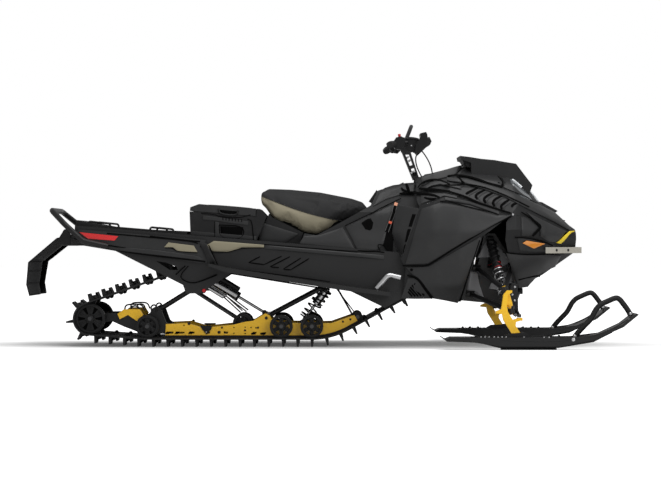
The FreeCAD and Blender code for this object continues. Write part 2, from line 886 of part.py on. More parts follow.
strap_top = beside(front_arm_top, nose_roller_axle, size.pivot_tube_radius + size.fit_gap)
strap_low = beside(nose_roller_axle, front_arm_top, size.axle_radius + size.fit_gap)
straps = [flat_bar(point(strap_top[0], size.strap_offset * sign, strap_top[1]),
                   point(strap_low[0], size.strap_offset * sign, strap_low[1]),
                   size.strap_width, size.strap_thickness) for sign in (-1, 1)]
finish(feature("limiter_straps", Part.makeCompound(straps)))
rod_top = side(*rear_rod_top_px)
rod_low = beside(inner_wheel, rod_top, size.axle_radius + size.fit_gap + size.shock_rod_radius)
rod_high = beside(rear_arm_top, inner_wheel, size.pivot_tube_radius + size.fit_gap + size.shock_rod_radius)
rods = []
for sign in (-1, 1):
    lateral = size.strap_offset * sign
    rods.append(rod(point(rod_high[0], lateral, rod_high[1]), point(rod_low[0], lateral, rod_low[1]),
                    size.shock_rod_radius))
axles.append(feature("link_rods", Part.makeCompound(rods)))


# Tunnel: side walls and top of one bent sheet, with the plates that carry the rear arm

tunnel_top_px = ((75.0, 225.5), (400.0, 252.3))
tunnel_low_px = ((405.0, 297.0), (385.0, 308.0), (350.0, 291.0), (330.0, 288.0), (230.5, 273.5),
                 (208.0, 288.6), (205.0, 293.2), (186.0, 293.6), (183.0, 285.0), (115.7, 251.0),
                 (74.0, 244.0))
tunnel_window_px = ((156.0, 261.0), (166.0, 262.5), (177.0, 267.0), (178.0, 270.0), (170.0, 270.0))

tunnel_half = tunnel_inside + size.tunnel_wall
tunnel_top = outline_at(tunnel_top_px, -tunnel_half)
tunnel_low = outline_at(tunnel_low_px, -tunnel_half)
(tail_x, tail_z), (head_x, head_z) = tunnel_top
tunnel = new_body("tunnel")
shell_profile = draw_outline(sketch_on(tunnel, "XZ_Plane"),
                             [tunnel_top[0], tunnel_top[1], (tunnel_low[0][0], head_z)] + tunnel_low)
pad(tunnel, shell_profile, tunnel_half * 2)
hollow = draw_outline(sketch_on(tunnel, "XZ_Plane"), [
    (tail_x - size.cut_over, tail_z - size.tunnel_wall), (tail_x, tail_z - size.tunnel_wall),
    (head_x, head_z - size.tunnel_wall), (tunnel_low[0][0] + size.cut_over, head_z - size.tunnel_wall),
    (tunnel_low[0][0] + size.cut_over, zero), (tail_x - size.cut_over, zero)])
pocket(tunnel, hollow, tunnel_inside * 2)
window = draw_outline(sketch_on(tunnel, "XZ_Plane"), outline_at(tunnel_window_px, -tunnel_half))
pocket(tunnel, window, tunnel_half * 4)
finish(tunnel)


def tunnel_rise(x):
    """The height of the tunnel's top at this place along the machine."""
    slope = (head_z - tail_z) / (head_x - tail_x)
    return tail_z + (x - tail_x) * slope if float(x) < float(head_x) else head_z


axle_half = tunnel_inside - size.fit_gap
axles.append(axle_rod("carrier_axle", carrier_axle, axle_half))
finish(joined("skid_axles", "Compound", axles))

# The drive sprockets run on both sides of the belt's inner lugs
sprockets = [cross_tube(drive_axle, axle_half, size.pivot_tube_radius)]
for sign in (-1, 1):
    for offset in (size.sprocket_inner_offset, size.sprocket_outer_offset):
        near = point(drive_axle[0], offset * sign - size.wheel_width / 2, drive_axle[1])
        away = point(drive_axle[0], offset * sign + size.wheel_width / 2, drive_axle[1])
        sprockets.append(rod(near, away, size.sprocket_radius))
finish(feature("drive_axle", fused(sprockets)))


# Running boards with snow slots, and the toe bars at their front

board_px = ((209.0, 263.5), (226.0, 267.5), (330.0, 283.5), (350.0, 286.5), (390.0, 292.0), (390.0, 296.0),
            (350.0, 291.0), (330.0, 288.0), (226.0, 272.0), (209.0, 266.0))
board_lateral = -(tunnel_half + size.fit_gap + size.board_width / 2)
board = plate("board", outline_at(board_px, board_lateral), size.board_width, board_lateral)
slot_start_px = 236.0
slot_start = side(slot_start_px, horizon_px, board_lateral)[0]
slot = draw_outline(sketch_on(board, "XY_Plane"), [
    (slot_start, board_lateral - size.board_slot_width / 2),
    (slot_start + size.board_slot_length, board_lateral - size.board_slot_width / 2),
    (slot_start + size.board_slot_length, board_lateral + size.board_slot_width / 2),
    (slot_start, board_lateral + size.board_slot_width / 2)])
opening = pocket(board, slot, size.overall_length)
row = board.newObject("PartDesign::LinearPattern", "Slots")
row.Originals = [opening]
row.Direction = (slot, ["H_Axis"])
row.setExpression("Length", "Sizes.board_slot_pitch * (Sizes.board_slot_count - 1)")
row.setExpression("Occurrences", "Sizes.board_slot_count")
board.Tip = row
pair("running_boards", board)

toe_px = ((376.5, 288.6), (388.5, 274.8), (400.5, 277.5))
toe_points = [point(x, board_lateral, z) for x, z in outline_at(toe_px, board_lateral)]
toe_bar = feature("toe_bar", bent_tube(toe_points, size.toe_bar_radius, size.toe_bar_radius * 2))
pair("toe_bars", toe_bar)


# Tail: side panels with their lamps, the rack, the grab rail, the snow flap and the hitch

tail_px = ((79.0, 229.5), (107.0, 231.5), (150.0, 235.0), (206.0, 240.0), (204.0, 246.0), (212.0, 261.5),
           (200.0, 263.0), (115.7, 249.5), (78.0, 242.6), (73.0, 236.0))
lamp_px = ((79.5, 232.2), (118.5, 236.2), (114.5, 240.6), (88.0, 238.6))
tail_lateral = -(tunnel_half + size.fit_gap + size.tail_panel_depth / 2)
tail_panel = plate("tail_panel", outline_at(tail_px, tail_lateral), size.tail_panel_depth, tail_lateral)
pair("tail_panels", tail_panel)
lamp_lateral = tail_lateral - size.tail_panel_depth / 2 - size.fit_gap - size.lamp_proud / 2
pair("tail_lamps", plate("tail_lamp", outline_at(lamp_px, lamp_lateral), size.lamp_proud, lamp_lateral))

rack_px = ((187.0, 231.2), (150.0, 229.5), (107.0, 226.0), (76.0, 220.0))
rack_lateral = -size.rack_half_width
rack_top = outline_at(rack_px, rack_lateral)
rack = new_body("rack_deck")
rack_outline = rack_top + [(rack_top[-1][0], tunnel_rise(rack_top[-1][0]) + size.fit_gap),
                           (rack_top[0][0], tunnel_rise(rack_top[0][0]) + size.fit_gap)]
pad(rack, draw_outline(sketch_on(rack, "XZ_Plane"), rack_outline), size.rack_half_width * 2)
rack_start = rack_top[-1][0] + size.rack_rail_width * 2
rack_bay = (rack_top[0][0] - rack_top[-1][0] - size.rack_rail_width * 4) / 2
bay = draw_outline(sketch_on(rack, "XY_Plane"), [
    (rack_start, -size.rack_half_width + size.rack_rail_width * 2),
    (rack_start + rack_bay - size.rack_rail_width, -size.rack_half_width + size.rack_rail_width * 2),
    (rack_start + rack_bay - size.rack_rail_width, size.rack_half_width - size.rack_rail_width * 2),
    (rack_start, size.rack_half_width - size.rack_rail_width * 2)])
bay_cut = pocket(rack, bay, size.overall_length)
bays = rack.newObject("PartDesign::LinearPattern", "Bays")
bays.Originals = [bay_cut]
bays.Direction = (bay, ["H_Axis"])
bays.setExpression("Length", (rack_bay + size.rack_rail_width).words)
bays.Occurrences = 2
rack.Tip = bays
doc.recompute()

loop_px = (((87.5, 225.6), (88.5, 221.4), (109.5, 223.6), (110.5, 228.0)),
           ((149.5, 231.2), (150.5, 227.2), (166.5, 228.8), (167.5, 232.0)))
rack_loops = []
for loop in loop_px:
    for sign in (-1, 1):
        lateral = (size.rack_half_width - size.rack_rail_width / 2) * sign
        bends = [point(x, lateral, z) for x, z in outline_at(loop, rack_lateral)]
        rack_loops.append(bent_tube(bends, size.rack_loop_bar / 2, size.rack_loop_bar))
finish(feature("cargo_rack", fused([rack.Shape] + rack_loops)))

rail_px = ((108.0, 246.6), (83.0, 241.0), (65.0, 224.5), (49.5, 210.3))
panel_face = -tail_lateral + size.tail_panel_depth / 2 + size.fit_gap
bumper_lateral = -(panel_face + size.lamp_proud + size.bumper_radius + size.fit_gap)
bumper_low = outline_at(rail_px, bumper_lateral)
bumper_path = [point(x, bumper_lateral, z) for x, z in bumper_low[:3]]
bumper_path.append(point(bumper_low[3][0], -size.bumper_top_half_width, bumper_low[3][1]))
bumper_path += [Vector(corner.x, -corner.y, corner.z) for corner in reversed(bumper_path)]
foot = bumper_path[0] - (bumper_path[0] - bumper_path[1]).normalize() * float(size.bumper_radius)
feet = [rod(point(foot.x, panel_face * sign, foot.z), point(foot.x, bumper_lateral * -sign, foot.z),
            size.arm_tube_radius) for sign in (-1, 1)]
grab_tube = bent_tube(bumper_path, size.bumper_radius, size.bumper_bend)
finish(feature("rear_grab_rail", fused([grab_tube] + feet)))

# The flap is a channel of sheet: wide where it faces rearward, its two wings leaning in to their front edges
flap_outer_px = ((70.0, 233.0), (56.7, 238.0), (28.2, 262.2), (26.2, 284.4), (29.3, 296.0))
flap_inner_px = ((70.0, 245.8), (62.5, 245.8), (42.5, 261.6), (39.0, 283.2), (40.6, 294.4))
flap_over_share = 0.15


def flap_sections(inset):
    """The flap's outer sections, or with an inset the room inside it, open in front and at both ends."""
    rings = []
    outer = outline_at(flap_outer_px, -size.flap_half_width)
    inner = outline_at(flap_inner_px, -size.flap_front_half_width)
    for index, (back, front) in enumerate(zip(outer, inner)):
        back = flat_point(back)
        front = flat_point(front)
        if index == 0:
            back.x = front.x = float(tail_x - size.fit_gap)
        if inset and index == 0:
            back.x = front.x = float(tail_x + size.cut_over)
        if inset and index == len(outer) - 1:
            back.z = front.z = float(back.z - size.cut_over)
        depth = front - back
        wide = float(size.flap_half_width)
        taper = (float(size.flap_front_half_width) - wide) / depth.Length
        low = inset
        high = depth.Length * (1 + flap_over_share) if inset else depth.Length
        step = depth.normalize()
        corners = [(low, -1), (high, -1), (high, 1), (low, 1)]
        ring = [back + step * reach + Vector(0, sign * (wide + taper * reach - inset), 0)
                for reach, sign in corners]
        rings.append(Part.makePolygon(ring + ring[:1]))
    return Part.makeLoft(rings, True, True)


finish(feature("snow_flap", flap_sections(0).cut(flap_sections(float(size.flap_wall)))))

hitch_top = tail_z - size.tunnel_wall - size.fit_gap
hitch_low = hitch_top - size.hitch_drop
hitch_rear = tail_x - size.hitch_reach
hitch = plate("hitch", [
    (tail_x + size.hitch_plate, hitch_low), (tail_x + size.hitch_plate, hitch_top - size.hitch_plate),
    (tail_x + size.hitch_reach, tunnel_rise(tail_x + size.hitch_reach) - size.tunnel_wall - size.fit_gap
     - size.hitch_plate),
    (tail_x + size.hitch_reach, tunnel_rise(tail_x + size.hitch_reach) - size.tunnel_wall - size.fit_gap),
    (tail_x, hitch_top), (tail_x, hitch_low + size.hitch_plate), (hitch_rear, hitch_low + size.hitch_plate),
    (hitch_rear, hitch_low)], size.hitch_half_width * 2)
pin_x = tail_x - size.hitch_bore_reach
pin_hole = draw_circle(sketch_on(hitch, "XY_Plane"), pin_x, zero, size.hitch_bore_radius)
pocket(hitch, pin_hole, size.overall_length)
finish(hitch)

# Cargo box with a lid hinged along its left edge

cover_lateral = -size.seat_half_width
box_lateral = -size.box_half_width
box_px = ((189.6, 211.3), (256.3, 216.6), (256.7, 208.8), (260.0, 209.0), (266.8, 216.0))
box_foot_px = (256.8, 190.5)
lid_px = ((189.9, 210.8), (190.4, 207.2), (199.0, 204.0), (255.9, 208.6), (255.7, 216.1))
box_top = outline_at(box_px, box_lateral)
foot_front = side(box_foot_px[0], horizon_px, box_lateral)[0]
foot_rear = side(box_foot_px[1], horizon_px, box_lateral)[0]
box_outline = box_top + [(foot_front, tunnel_rise(foot_front) + size.fit_gap),
                         (foot_rear, tunnel_rise(foot_rear) + size.fit_gap)]
box = new_body("cargo_box")
pad(box, draw_outline(sketch_on(box, "XZ_Plane"), box_outline), size.box_half_width * 2)
wall = size.box_wall
room = [(box_top[0][0] + wall, box_top[0][1] + size.box_lid_height),
        (box_top[1][0] - wall, box_top[1][1] + size.box_lid_height),
        (foot_front - wall, tunnel_rise(foot_front) + size.fit_gap + wall),
        (foot_rear + wall, tunnel_rise(foot_rear) + size.fit_gap + wall)]
pocket(box, draw_outline(sketch_on(box, "XZ_Plane"), room), (size.box_half_width - wall) * 2)
finish(box)

lid = new_body("lid_shell")
lid_top = outline_at(lid_px, box_lateral)
pad(lid, draw_outline(sketch_on(lid, "XZ_Plane"), lid_top), size.box_half_width * 2)
lid_room = [(lid_top[0][0] + wall, lid_top[0][1] - wall), (lid_top[1][0] + wall, lid_top[1][1] - wall),
            (lid_top[2][0] + wall / 2, lid_top[2][1] - wall), (lid_top[3][0] - wall, lid_top[3][1] - wall),
            (lid_top[4][0] - wall, lid_top[4][1] - wall)]
pocket(lid, draw_outline(sketch_on(lid, "XZ_Plane"), lid_room), (size.box_half_width - wall) * 2)
doc.recompute()
hinge_y = size.box_half_width + size.lid_hinge_radius + size.fit_gap
hinge_rear = point(lid_top[0][0], hinge_y, lid_top[0][1])
hinge_front = point(lid_top[4][0], hinge_y, lid_top[4][1])
hinge_run = hinge_front - hinge_rear
hinge_start_shares = (0.12, 0.74)
hinge_length_share = 0.14
leaf_rise = Vector(0, 0, float(size.lid_hinge_radius))
barrels = []
for share in hinge_start_shares:
    start = hinge_rear + hinge_run * share
    end = start + hinge_run * hinge_length_share
    barrels.append(rod(start, end, size.lid_hinge_radius))
    leaf = [start, end, end + leaf_rise, start + leaf_rise]
    sheet_face = Part.Face(Part.makePolygon(leaf + leaf[:1]))
    barrels.append(sheet_face.extrude(Vector(0, -float(size.lid_hinge_radius + size.lid_gap), 0)))
finish(feature("box_lid", fused([lid.Shape] + barrels)))


# Seat, the cover under it and the tank cover ahead of it

seat_low_px = ((342.0, 221.6), (316.6, 235.2), (303.8, 232.8), (271.9, 217.0), (266.3, 205.7), (260.0, 201.7))
seat_tip_px = (370.0, 205.7)
seat_px = ((260.7, 189.7), (319.7, 193.0), (351.6, 199.3), seat_tip_px) + seat_low_px
seat_plan_px = (258.0, 305.0, 372.0)
seat_block = plate("seat_block", outline_at(seat_px, cover_lateral), size.seat_half_width * 2)
plan = new_body("seat_plan")
seat_rear, seat_waist, seat_nose = [side(u, horizon_px, cover_lateral)[0] for u in seat_plan_px]
front_half = size.seat_front_half_width
pad(plan, draw_outline(sketch_on(plan, "XY_Plane"), [
    (seat_rear, -size.seat_half_width), (seat_waist, -size.seat_half_width), (seat_nose, -front_half),
    (seat_nose, front_half), (seat_waist, size.seat_half_width), (seat_rear, size.seat_half_width)]),
    size.overall_length)
finish(common("seat", seat_block, plan))


def lowered(points):
    return [(x, z - size.fit_gap * 2) for x, z in points]


under_px = ((303.3, 232.6), (271.9, 217.0), (269.0, 213.5), (258.5, 240.0), (299.5, 243.0))
under = lowered(outline_at(under_px[:3], cover_lateral))
under_rear = side(under_px[3][0], horizon_px, cover_lateral)[0]
under_front = side(under_px[4][0], horizon_px, cover_lateral)[0]
under += [(x, tunnel_rise(x) + size.fit_gap) for x in (under_rear, under_front)]
base = plate("seat_base", under, size.seat_base_half_width * 2)
finish(base)

hull_edge_px = ((417.0, 200.0), (419.4, 206.8), (403.0, 252.0))
tank_px = ((416.3, 182.0), (403.5, 183.0), (384.0, 188.5), (378.0, 190.5), (371.0, 205.9))
tank_lateral = cover_lateral
tank_front = [(x - size.panel_gap, z) for x, z in outline_at(hull_edge_px, tank_lateral)]
tank_foot = tank_front[-1][0]
tank_front[-1] = (tank_foot, tunnel_rise(tank_foot) + size.fit_gap)
tank_rear_px = 301.0
tank_heel_px = (304.4, 233.2)
tank_rear = side(tank_rear_px, horizon_px, tank_lateral)[0]
tank_seat_line = lowered(outline_at((seat_tip_px,) + seat_low_px[:2] + (tank_heel_px,), cover_lateral))
tank_foot_line = [(tank_rear, tunnel_rise(tank_rear) + size.fit_gap), (head_x, head_z + size.fit_gap)]
tank_outline = outline_at(tank_px, tank_lateral) + tank_seat_line + tank_foot_line + tank_front[::-1]
tank_block = plate("tank_block", tank_outline, size.tank_half_width * 2)
# Half width as a share of the tank's, and the pixel height in the middle plane
tank_section_px = ((0.9, 274.2), (0.9, 242.7), (0.84, 230.4), (0.8, 212.6), (0.5, 192.0), (0.28, 178.3),
                   (0.28, 137.2))


def section(label, corners, half_width):
    """A long bar along X whose section is given on one side, and mirrored."""
    body = new_body(label)
    right = [(-half_width * share, side(centre_px, v)[1]) for share, v in corners]
    left = [(-y, z) for y, z in reversed(right)]
    pad(body, draw_outline(sketch_on(body, "YZ_Plane"), right + left), size.overall_length)
    return body


tank_whole = common("tank_whole", tank_block, section("tank_section", tank_section_px, size.tank_half_width))


# Body shell: lofted stations, hollowed, and split into panels along the side view's seams

# Each station: its pixel along the side view, then from the floor up the half width as a share of the
# hull's and the pixel height in the middle plane
station_px = (
    (395.8, ((0.675, 294.9), (0.75, 283.6), (0.825, 240.9), (0.75, 211.2), (0.475, 187.2), (0, 179.3))),
    (430.6, ((0.738, 297.0), (0.875, 283.6), (0.988, 233.5), (0.863, 202.0), (0.575, 182.6), (0, 173.4))),
    (454.7, ((0.75, 300.1), (0.905, 283.6), (1.0, 233.5), (0.875, 200.1), (0.6, 180.8), (0, 167.2))),
    (510.2, ((0.575, 289.0), (0.725, 270.5), (0.925, 229.8), (0.825, 203.8), (0.55, 185.3), (0, 166.7))),
    (539.8, ((0.375, 274.1), (0.575, 261.2), (0.775, 233.5), (0.675, 216.8), (0.425, 206.7), (0, 202.6))),
    (573.2, ((0.15, 252.0), (0.225, 248.3), (0.325, 239.0), (0.3, 233.5), (0.2, 229.8), (0, 228.7))),
)


def hull(inset):
    """The outer body, or with an inset the room inside it, open at the rear."""
    rings = []
    for station, (u, corners) in enumerate(station_px):
        x = side(u, horizon_px)[0]
        if station == 0 and float(inset) > 0:
            x = x - size.cut_over
        if station == len(station_px) - 1:
            x = x - inset
        ring = []
        for index, (share, v) in enumerate(corners):
            across = size.hull_half_width * share - (inset if share else zero)
            up = side(u, v)[1]
            if index < 2:
                up = up + inset
            if index > 3:
                up = up - inset
            ring.append((across, up))
        points = [point(x, -across, up) for across, up in ring]
        points += [point(x, across, up) for across, up in reversed(ring[:-1])]
        rings.append(Part.makePolygon(points + points[:1]))
    return Part.makeLoft(rings, True, True)


def prism(pixels, lateral, low, high):
    """A block with a side-view outline, between two places across the machine."""
    ring = [point(x, low, z) for x, z in outline_at(pixels, lateral)]
    return Part.Face(Part.makePolygon(ring + ring[:1])).extrude(Vector(0, float(high) - float(low), 0))


def seam(pixels, lateral):
    """A thin wall along a side-view line, one panel gap wide, through the whole machine."""
    line = [point(x, zero, z) for x, z in outline_at(pixels, lateral)]
    half = float(size.panel_gap) / 2
    walls = []
    for start, end in zip(line, line[1:]):
        along = (end - start).normalize()
        lift = Vector(-along.z, 0, along.x) * half
        ring = [start - along * half - lift, end + along * half - lift, end + along * half + lift,
                start - along * half + lift]
        block = Part.Face(Part.makePolygon(ring + ring[:1])).extrude(Vector(0, far * 2, 0))
        block.translate(Vector(0, -far, 0))
        walls.append(block)
    return walls


far = float(size.overall_length) / 2
panel_plane_share = 0.85
hull_lateral = -size.hull_half_width * panel_plane_share
skin = hull(zero).cut(hull(size.shell_wall))

side_px = ((419.4, 206.8), (400.6, 258.7), (405.6, 268.6), (402.0, 320.0), (433.0, 320.0), (458.2, 320.0),
           (463.8, 291.0), (482.0, 236.3), (511.5, 214.5), (500.0, 212.0), (444.0, 197.0))
hood_px = ((417.3, 150.0), (417.0, 200.0), (419.4, 206.8), (444.0, 197.0), (500.0, 212.0), (511.5, 214.5),
           (572.6, 229.3), (600.0, 229.0), (600.0, 150.0))
nose_px = ((511.5, 214.5), (506.0, 222.0), (505.0, 240.0), (509.0, 257.0), (518.6, 300.0), (620.0, 300.0),
           (620.0, 229.0), (572.6, 229.3))
headlight_px = ((513.0, 176.5), (522.0, 181.0), (534.5, 199.0), (528.0, 200.5), (516.0, 191.0),
                (511.0, 183.0))
accent_px = ((568.0, 231.6), (571.0, 232.4), (560.0, 243.0), (555.5, 242.5))
reflector_px = ((522.8, 242.0), (527.0, 239.8), (543.8, 243.3), (532.6, 248.2))

hood_seam_px = ((417.3, 206.8), (419.4, 206.8), (444.0, 197.0), (500.0, 212.0), (511.5, 214.5),
                (600.0, 229.2))
hood_seam = seam(hood_seam_px, hull_lateral)
post_foot_px = (417.5, 180.0)
post_head_px = (404.6, 151.7)
post_foot = side(*post_foot_px)
post_head = side(*post_head_px)
post_axis = (point(post_head[0], zero, post_head[1]) - point(post_foot[0], zero, post_foot[1])).normalize()
post_base = point(post_foot[0], zero, post_foot[1])
post_reach = post_axis * float(size.post_room_depth)
post_room = rod(post_base - post_reach, post_base + post_reach, size.post_room_radius)

upper = skin.common(prism(hood_px, hull_lateral, -far, far))
lights = upper.common(prism(headlight_px, hull_lateral, -far, far))
upper = upper.cut(prism(headlight_px, hull_lateral, -far, far)).cut(post_room)
for wall_piece in hood_seam:
    upper = upper.cut(wall_piece)
finish(feature("hood", upper))
finish(feature("headlights", lights))

side_cut = skin.common(prism(side_px, hull_lateral, -far, -float(size.belly_half_width)))
for wall_piece in hood_seam:
    side_cut = side_cut.cut(wall_piece)
both_sides(feature("side_panel", side_cut), "side_panel_right", "side_panel_left")

nose_room_px = ((500.0, 255.0), (532.0, 255.0), (532.0, 310.0), (500.0, 310.0))
room_half = size.nose_room_half_width
front = skin.common(prism(nose_px, hull_lateral, -far, far))
front = front.cut(prism(nose_room_px, -size.frame_half_width, -room_half, room_half))
inlays = prism(accent_px, hull_lateral, -far, far).fuse(prism(reflector_px, hull_lateral, -far, far))
for wall_piece in hood_seam:
    front = front.cut(wall_piece)
finish(feature("nose_accents", front.common(prism(accent_px, hull_lateral, -far, far))))
finish(feature("side_reflectors", front.common(prism(reflector_px, hull_lateral, -far, far))))
finish(feature("nose", front.cut(inlays)))

belly_px = ((426.0, 270.0), (426.0, 320.0), (455.0, 320.0), (455.0, 270.0))
belly_half = size.belly_half_width - size.panel_gap
finish(feature("belly_pan", skin.common(prism(belly_px, hull_lateral, -belly_half, belly_half))))

screen_px = ((458.2, 157.0), (468.0, 158.2), (479.0, 160.0), (492.0, 161.2), (502.0, 163.0), (513.3, 164.8),
             (529.5, 186.0), (526.0, 196.0), (470.0, 196.0), (469.0, 163.8), (459.0, 160.5))
screen_room_px = ((470.5, 159.9), (479.0, 161.4), (492.0, 162.6), (502.0, 164.4), (512.2, 166.2),
                  (527.6, 186.2), (524.0, 197.0), (471.5, 197.0))
screen_width_share = 0.4
screen_half = size.hull_half_width * screen_width_share
room_side = screen_half - size.shell_wall
screen = prism(screen_px, zero, -screen_half, screen_half)
screen = screen.cut(prism(screen_room_px, zero, -room_side, room_side))
screen = screen.cut(hull(-size.fit_gap))
finish(feature("windshield", max(screen.Solids, key=lambda solid: solid.Volume)))


# Front frame: two bulkhead plates, the tubes over the engine and the steering rack

bulkhead_px = ((457.0, 300.0), (504.0, 304.5), (514.0, 305.0), (521.0, 290.0), (524.0, 282.0), (513.0, 262.0),
               (495.0, 233.5), (484.0, 233.5), (478.0, 266.0), (430.0, 269.0), (430.0, 275.0), (455.0, 284.0))
bulkhead_window_px = (((468.0, 276.0), (480.0, 276.0), (476.0, 292.0), (466.0, 292.0)),
                      ((489.0, 246.0), (495.0, 246.0), (505.0, 266.0), (487.0, 268.0)))
rack_bar_px = (511.2, 300.8)
frame_lateral = -size.frame_half_width
bulkhead = plate("bulkhead", outline_at(bulkhead_px, frame_lateral), size.frame_wall, frame_lateral)
for window_px in bulkhead_window_px:
    gap = draw_outline(sketch_on(bulkhead, "XZ_Plane", -frame_lateral), outline_at(window_px, frame_lateral))
    pocket(bulkhead, gap, size.frame_wall * 2)
doc.recompute()
steering_rack = side(*rack_bar_px, frame_lateral)
plate_out = size.frame_half_width + size.frame_wall / 2
rack_end = plate_out + size.frame_wall
rack_tube = cross_tube(steering_rack, rack_end, size.rack_tube_radius)
rack_bore = cross_tube(steering_rack, rack_end + size.frame_wall, size.tie_rod_radius + size.pin_gap)
brace_px = ((447.0, 272.0), (462.0, 294.0), (489.5, 238.0), (515.0, 278.0))
braces = [cross_tube(place_xz, size.frame_half_width, size.arm_tube_radius)
          for place_xz in outline_at(brace_px, frame_lateral)]
apex_px = (422.4, 191.2)
shoulder_px = (423.5, 211.5)
leg_foot_px = 402.5
crown_px = (487.5, 234.6)
apex = point(*(side(*apex_px)[0], zero, side(*apex_px)[1]))
tube_radius = size.arm_tube_radius
leg_tubes = []
leg_rooms = []
for sign in (-1, 1):
    shoulder = point(side(*shoulder_px)[0], size.leg_shoulder * sign, side(*shoulder_px)[1])
    foot_x = side(leg_foot_px, horizon_px, -tunnel_half)[0]
    foot_z = head_z + size.arm_tube_radius + size.fit_gap
    foot = point(foot_x, (tunnel_inside - size.arm_tube_radius) * sign, foot_z)
    crown_x, crown_z = side(*crown_px, frame_lateral)
    crown = point(crown_x, size.frame_half_width * sign, crown_z)
    for start, end in ((apex, shoulder), (shoulder, foot), (apex, crown)):
        leg_tubes.append(rod(start, end, tube_radius))
    leg_tubes.append(Part.makeSphere(float(tube_radius), shoulder))
    leg_tubes.append(Part.makeSphere(float(tube_radius), foot))
    leg_rooms.append(rod(shoulder, foot, tube_radius + size.fit_gap))
    leg_rooms.append(Part.makeSphere(float(tube_radius + size.fit_gap), foot))
    leg_rooms.append(Part.makeSphere(float(tube_radius + size.fit_gap), shoulder))
collar_top = post_base - post_axis * float(size.collar_drop)
collar_low = collar_top - post_axis * float(size.collar_height)
collar = rod(collar_low, collar_top, size.post_collar_radius)
right_plate = bulkhead.Shape
left_plate = right_plate.mirror(Vector(0, 0, 0), Vector(0, 1, 0))
frame = fused([right_plate, left_plate, rack_tube, collar] + braces + leg_tubes).cut(rack_bore)
frame = frame.cut(rod(post_base - post_reach * 2, post_base, size.shaft_radius + size.pin_gap))
finish(feature("front_frame", frame))
doc.recompute()
finish(feature("tank_cover", tank_whole.Shape.cut(leg_rooms)))

engine = doc.addObject("Part::Box", "engine")
engine.Label = "engine"
engine_sizes = {"Length": size.engine_length, "Width": size.engine_width, "Height": size.engine_height}
for key, length in engine_sizes.items():
    engine.setExpression(key, length.words)
engine_px = 429.5
engine_x = side(engine_px, horizon_px, frame_lateral)[0]
engine_z = side(*brace_px[0], frame_lateral)[1] + size.arm_tube_radius
place(engine, engine_x, -(size.engine_width / 2), engine_z + size.fit_gap)
finish(engine)


# Steering: an open riser on its shaft, the bar with its grips, the display, strap and controls

riser_px = ((412.8, 180.4), (419.0, 178.6), (410.2, 151.7), (401.4, 151.7))
riser_window_px = (((413.4, 176.5), (416.6, 175.5), (414.0, 168.0), (410.6, 169.0)),
                   ((409.6, 166.0), (412.6, 165.0), (409.0, 154.6), (405.0, 154.6)))
riser = plate("riser_block", outline_at(riser_px), size.post_width)
for window_px in riser_window_px:
    gap = draw_outline(sketch_on(riser, "XZ_Plane"), outline_at(window_px))
    pocket(riser, gap, size.post_width * 2)
doc.recompute()
shaft = rod(post_base - post_axis * float(size.collar_drop + size.collar_height + size.collar_drop / 4),
            post_base + post_axis * float(size.collar_drop), size.shaft_radius)
clamp_px = ((401.0, 152.5), (411.5, 152.5), (414.54, 150.0), (414.54, 143.0), (411.5, 139.0), (402.5, 137.5),
            (400.0, 143.0))
bar_px = (406.2, 143.7)
bar_x, bar_z = side(*bar_px)
clamp = prism(clamp_px, zero, -(size.post_width / 2), size.post_width / 2)
clamp = clamp.cut(cross_tube((bar_x, bar_z), size.post_width, size.bar_radius + size.fit_gap))
finish(feature("steering_post", fused([riser.Shape, shaft, clamp])))

bar_wide = size.bar_half_width - size.grip_length
elbow = size.bar_elbow
end_px = (390.1, 144.9)
knee_px = (394.2, 144.0)
end_x, end_z = side(*end_px, -size.bar_half_width)
knee_x, knee_z = side(*knee_px, -bar_wide)
bar_path = [point(end_x, -size.bar_half_width, end_z), point(knee_x, -bar_wide, knee_z),
            point(bar_x, -elbow, bar_z)]
bar_path += [Vector(corner.x, -corner.y, corner.z) for corner in reversed(bar_path)]
finish(feature("handlebar", bent_tube(bar_path, size.bar_radius, size.bar_bend)))
grip_cover_share = 0.9
grips = []
for near, far_end in ((bar_path[1], bar_path[0]), (bar_path[-2], bar_path[-1])):
    run = (far_end - near).normalize()
    start = far_end - run * (float(size.grip_length) * grip_cover_share)
    end = far_end + run * float(size.bar_radius)
    sleeve = rod(start, end, size.grip_radius)
    bar_end = far_end + run * float(size.fit_gap)
    grips.append(sleeve.cut(rod(start - run, bar_end, size.bar_radius + size.fit_gap)))
finish(feature("grips", Part.makeCompound(grips)))

display_px = ((414.6, 153.5), (414.6, 141.5), (419.4, 133.4), (424.5, 132.2), (426.8, 135.1), (431.1, 141.7),
              (428.5, 145.4), (417.0, 155.7))
finish(feature("display", prism(display_px, zero, -(size.display_width / 2), size.display_width / 2)))

strap_px = ((406.4, 137.85), (410.4, 126.0))
(foot_x, foot_z), (head_x2, head_z2) = outline_at(strap_px)
strap_half = size.post_width / 2 - size.strap_thickness * 2
strap_path = [point(foot_x, -strap_half, foot_z)]
strap_path.append(point(head_x2, -(strap_half + size.strap_thickness), head_z2))
strap_path += [Vector(corner.x, -corner.y, corner.z) for corner in reversed(strap_path)]
finish(feature("grab_strap", bent_tube(strap_path, size.grab_strap_radius, size.grab_strap_radius * 3)))

cable_px = (((415.6, 157.0), (416.4, 163.0), (418.6, 170.0), (421.0, 176.0)),
            ((421.5, 153.0), (425.0, 158.5), (428.3, 165.5), (430.6, 172.6)))
cables = []
for line, lateral in zip(cable_px, (-size.cable_offset, size.cable_offset)):
    bends = [point(x, lateral, z) for x, z in outline_at(line)]
    cables.append(bent_tube(bends, size.cable_radius, size.cable_bend))
finish(feature("control_cables", Part.makeCompound(cables)))


# Front suspension: wishbones, coil shocks, spindles on their kingpins and the rods that turn them

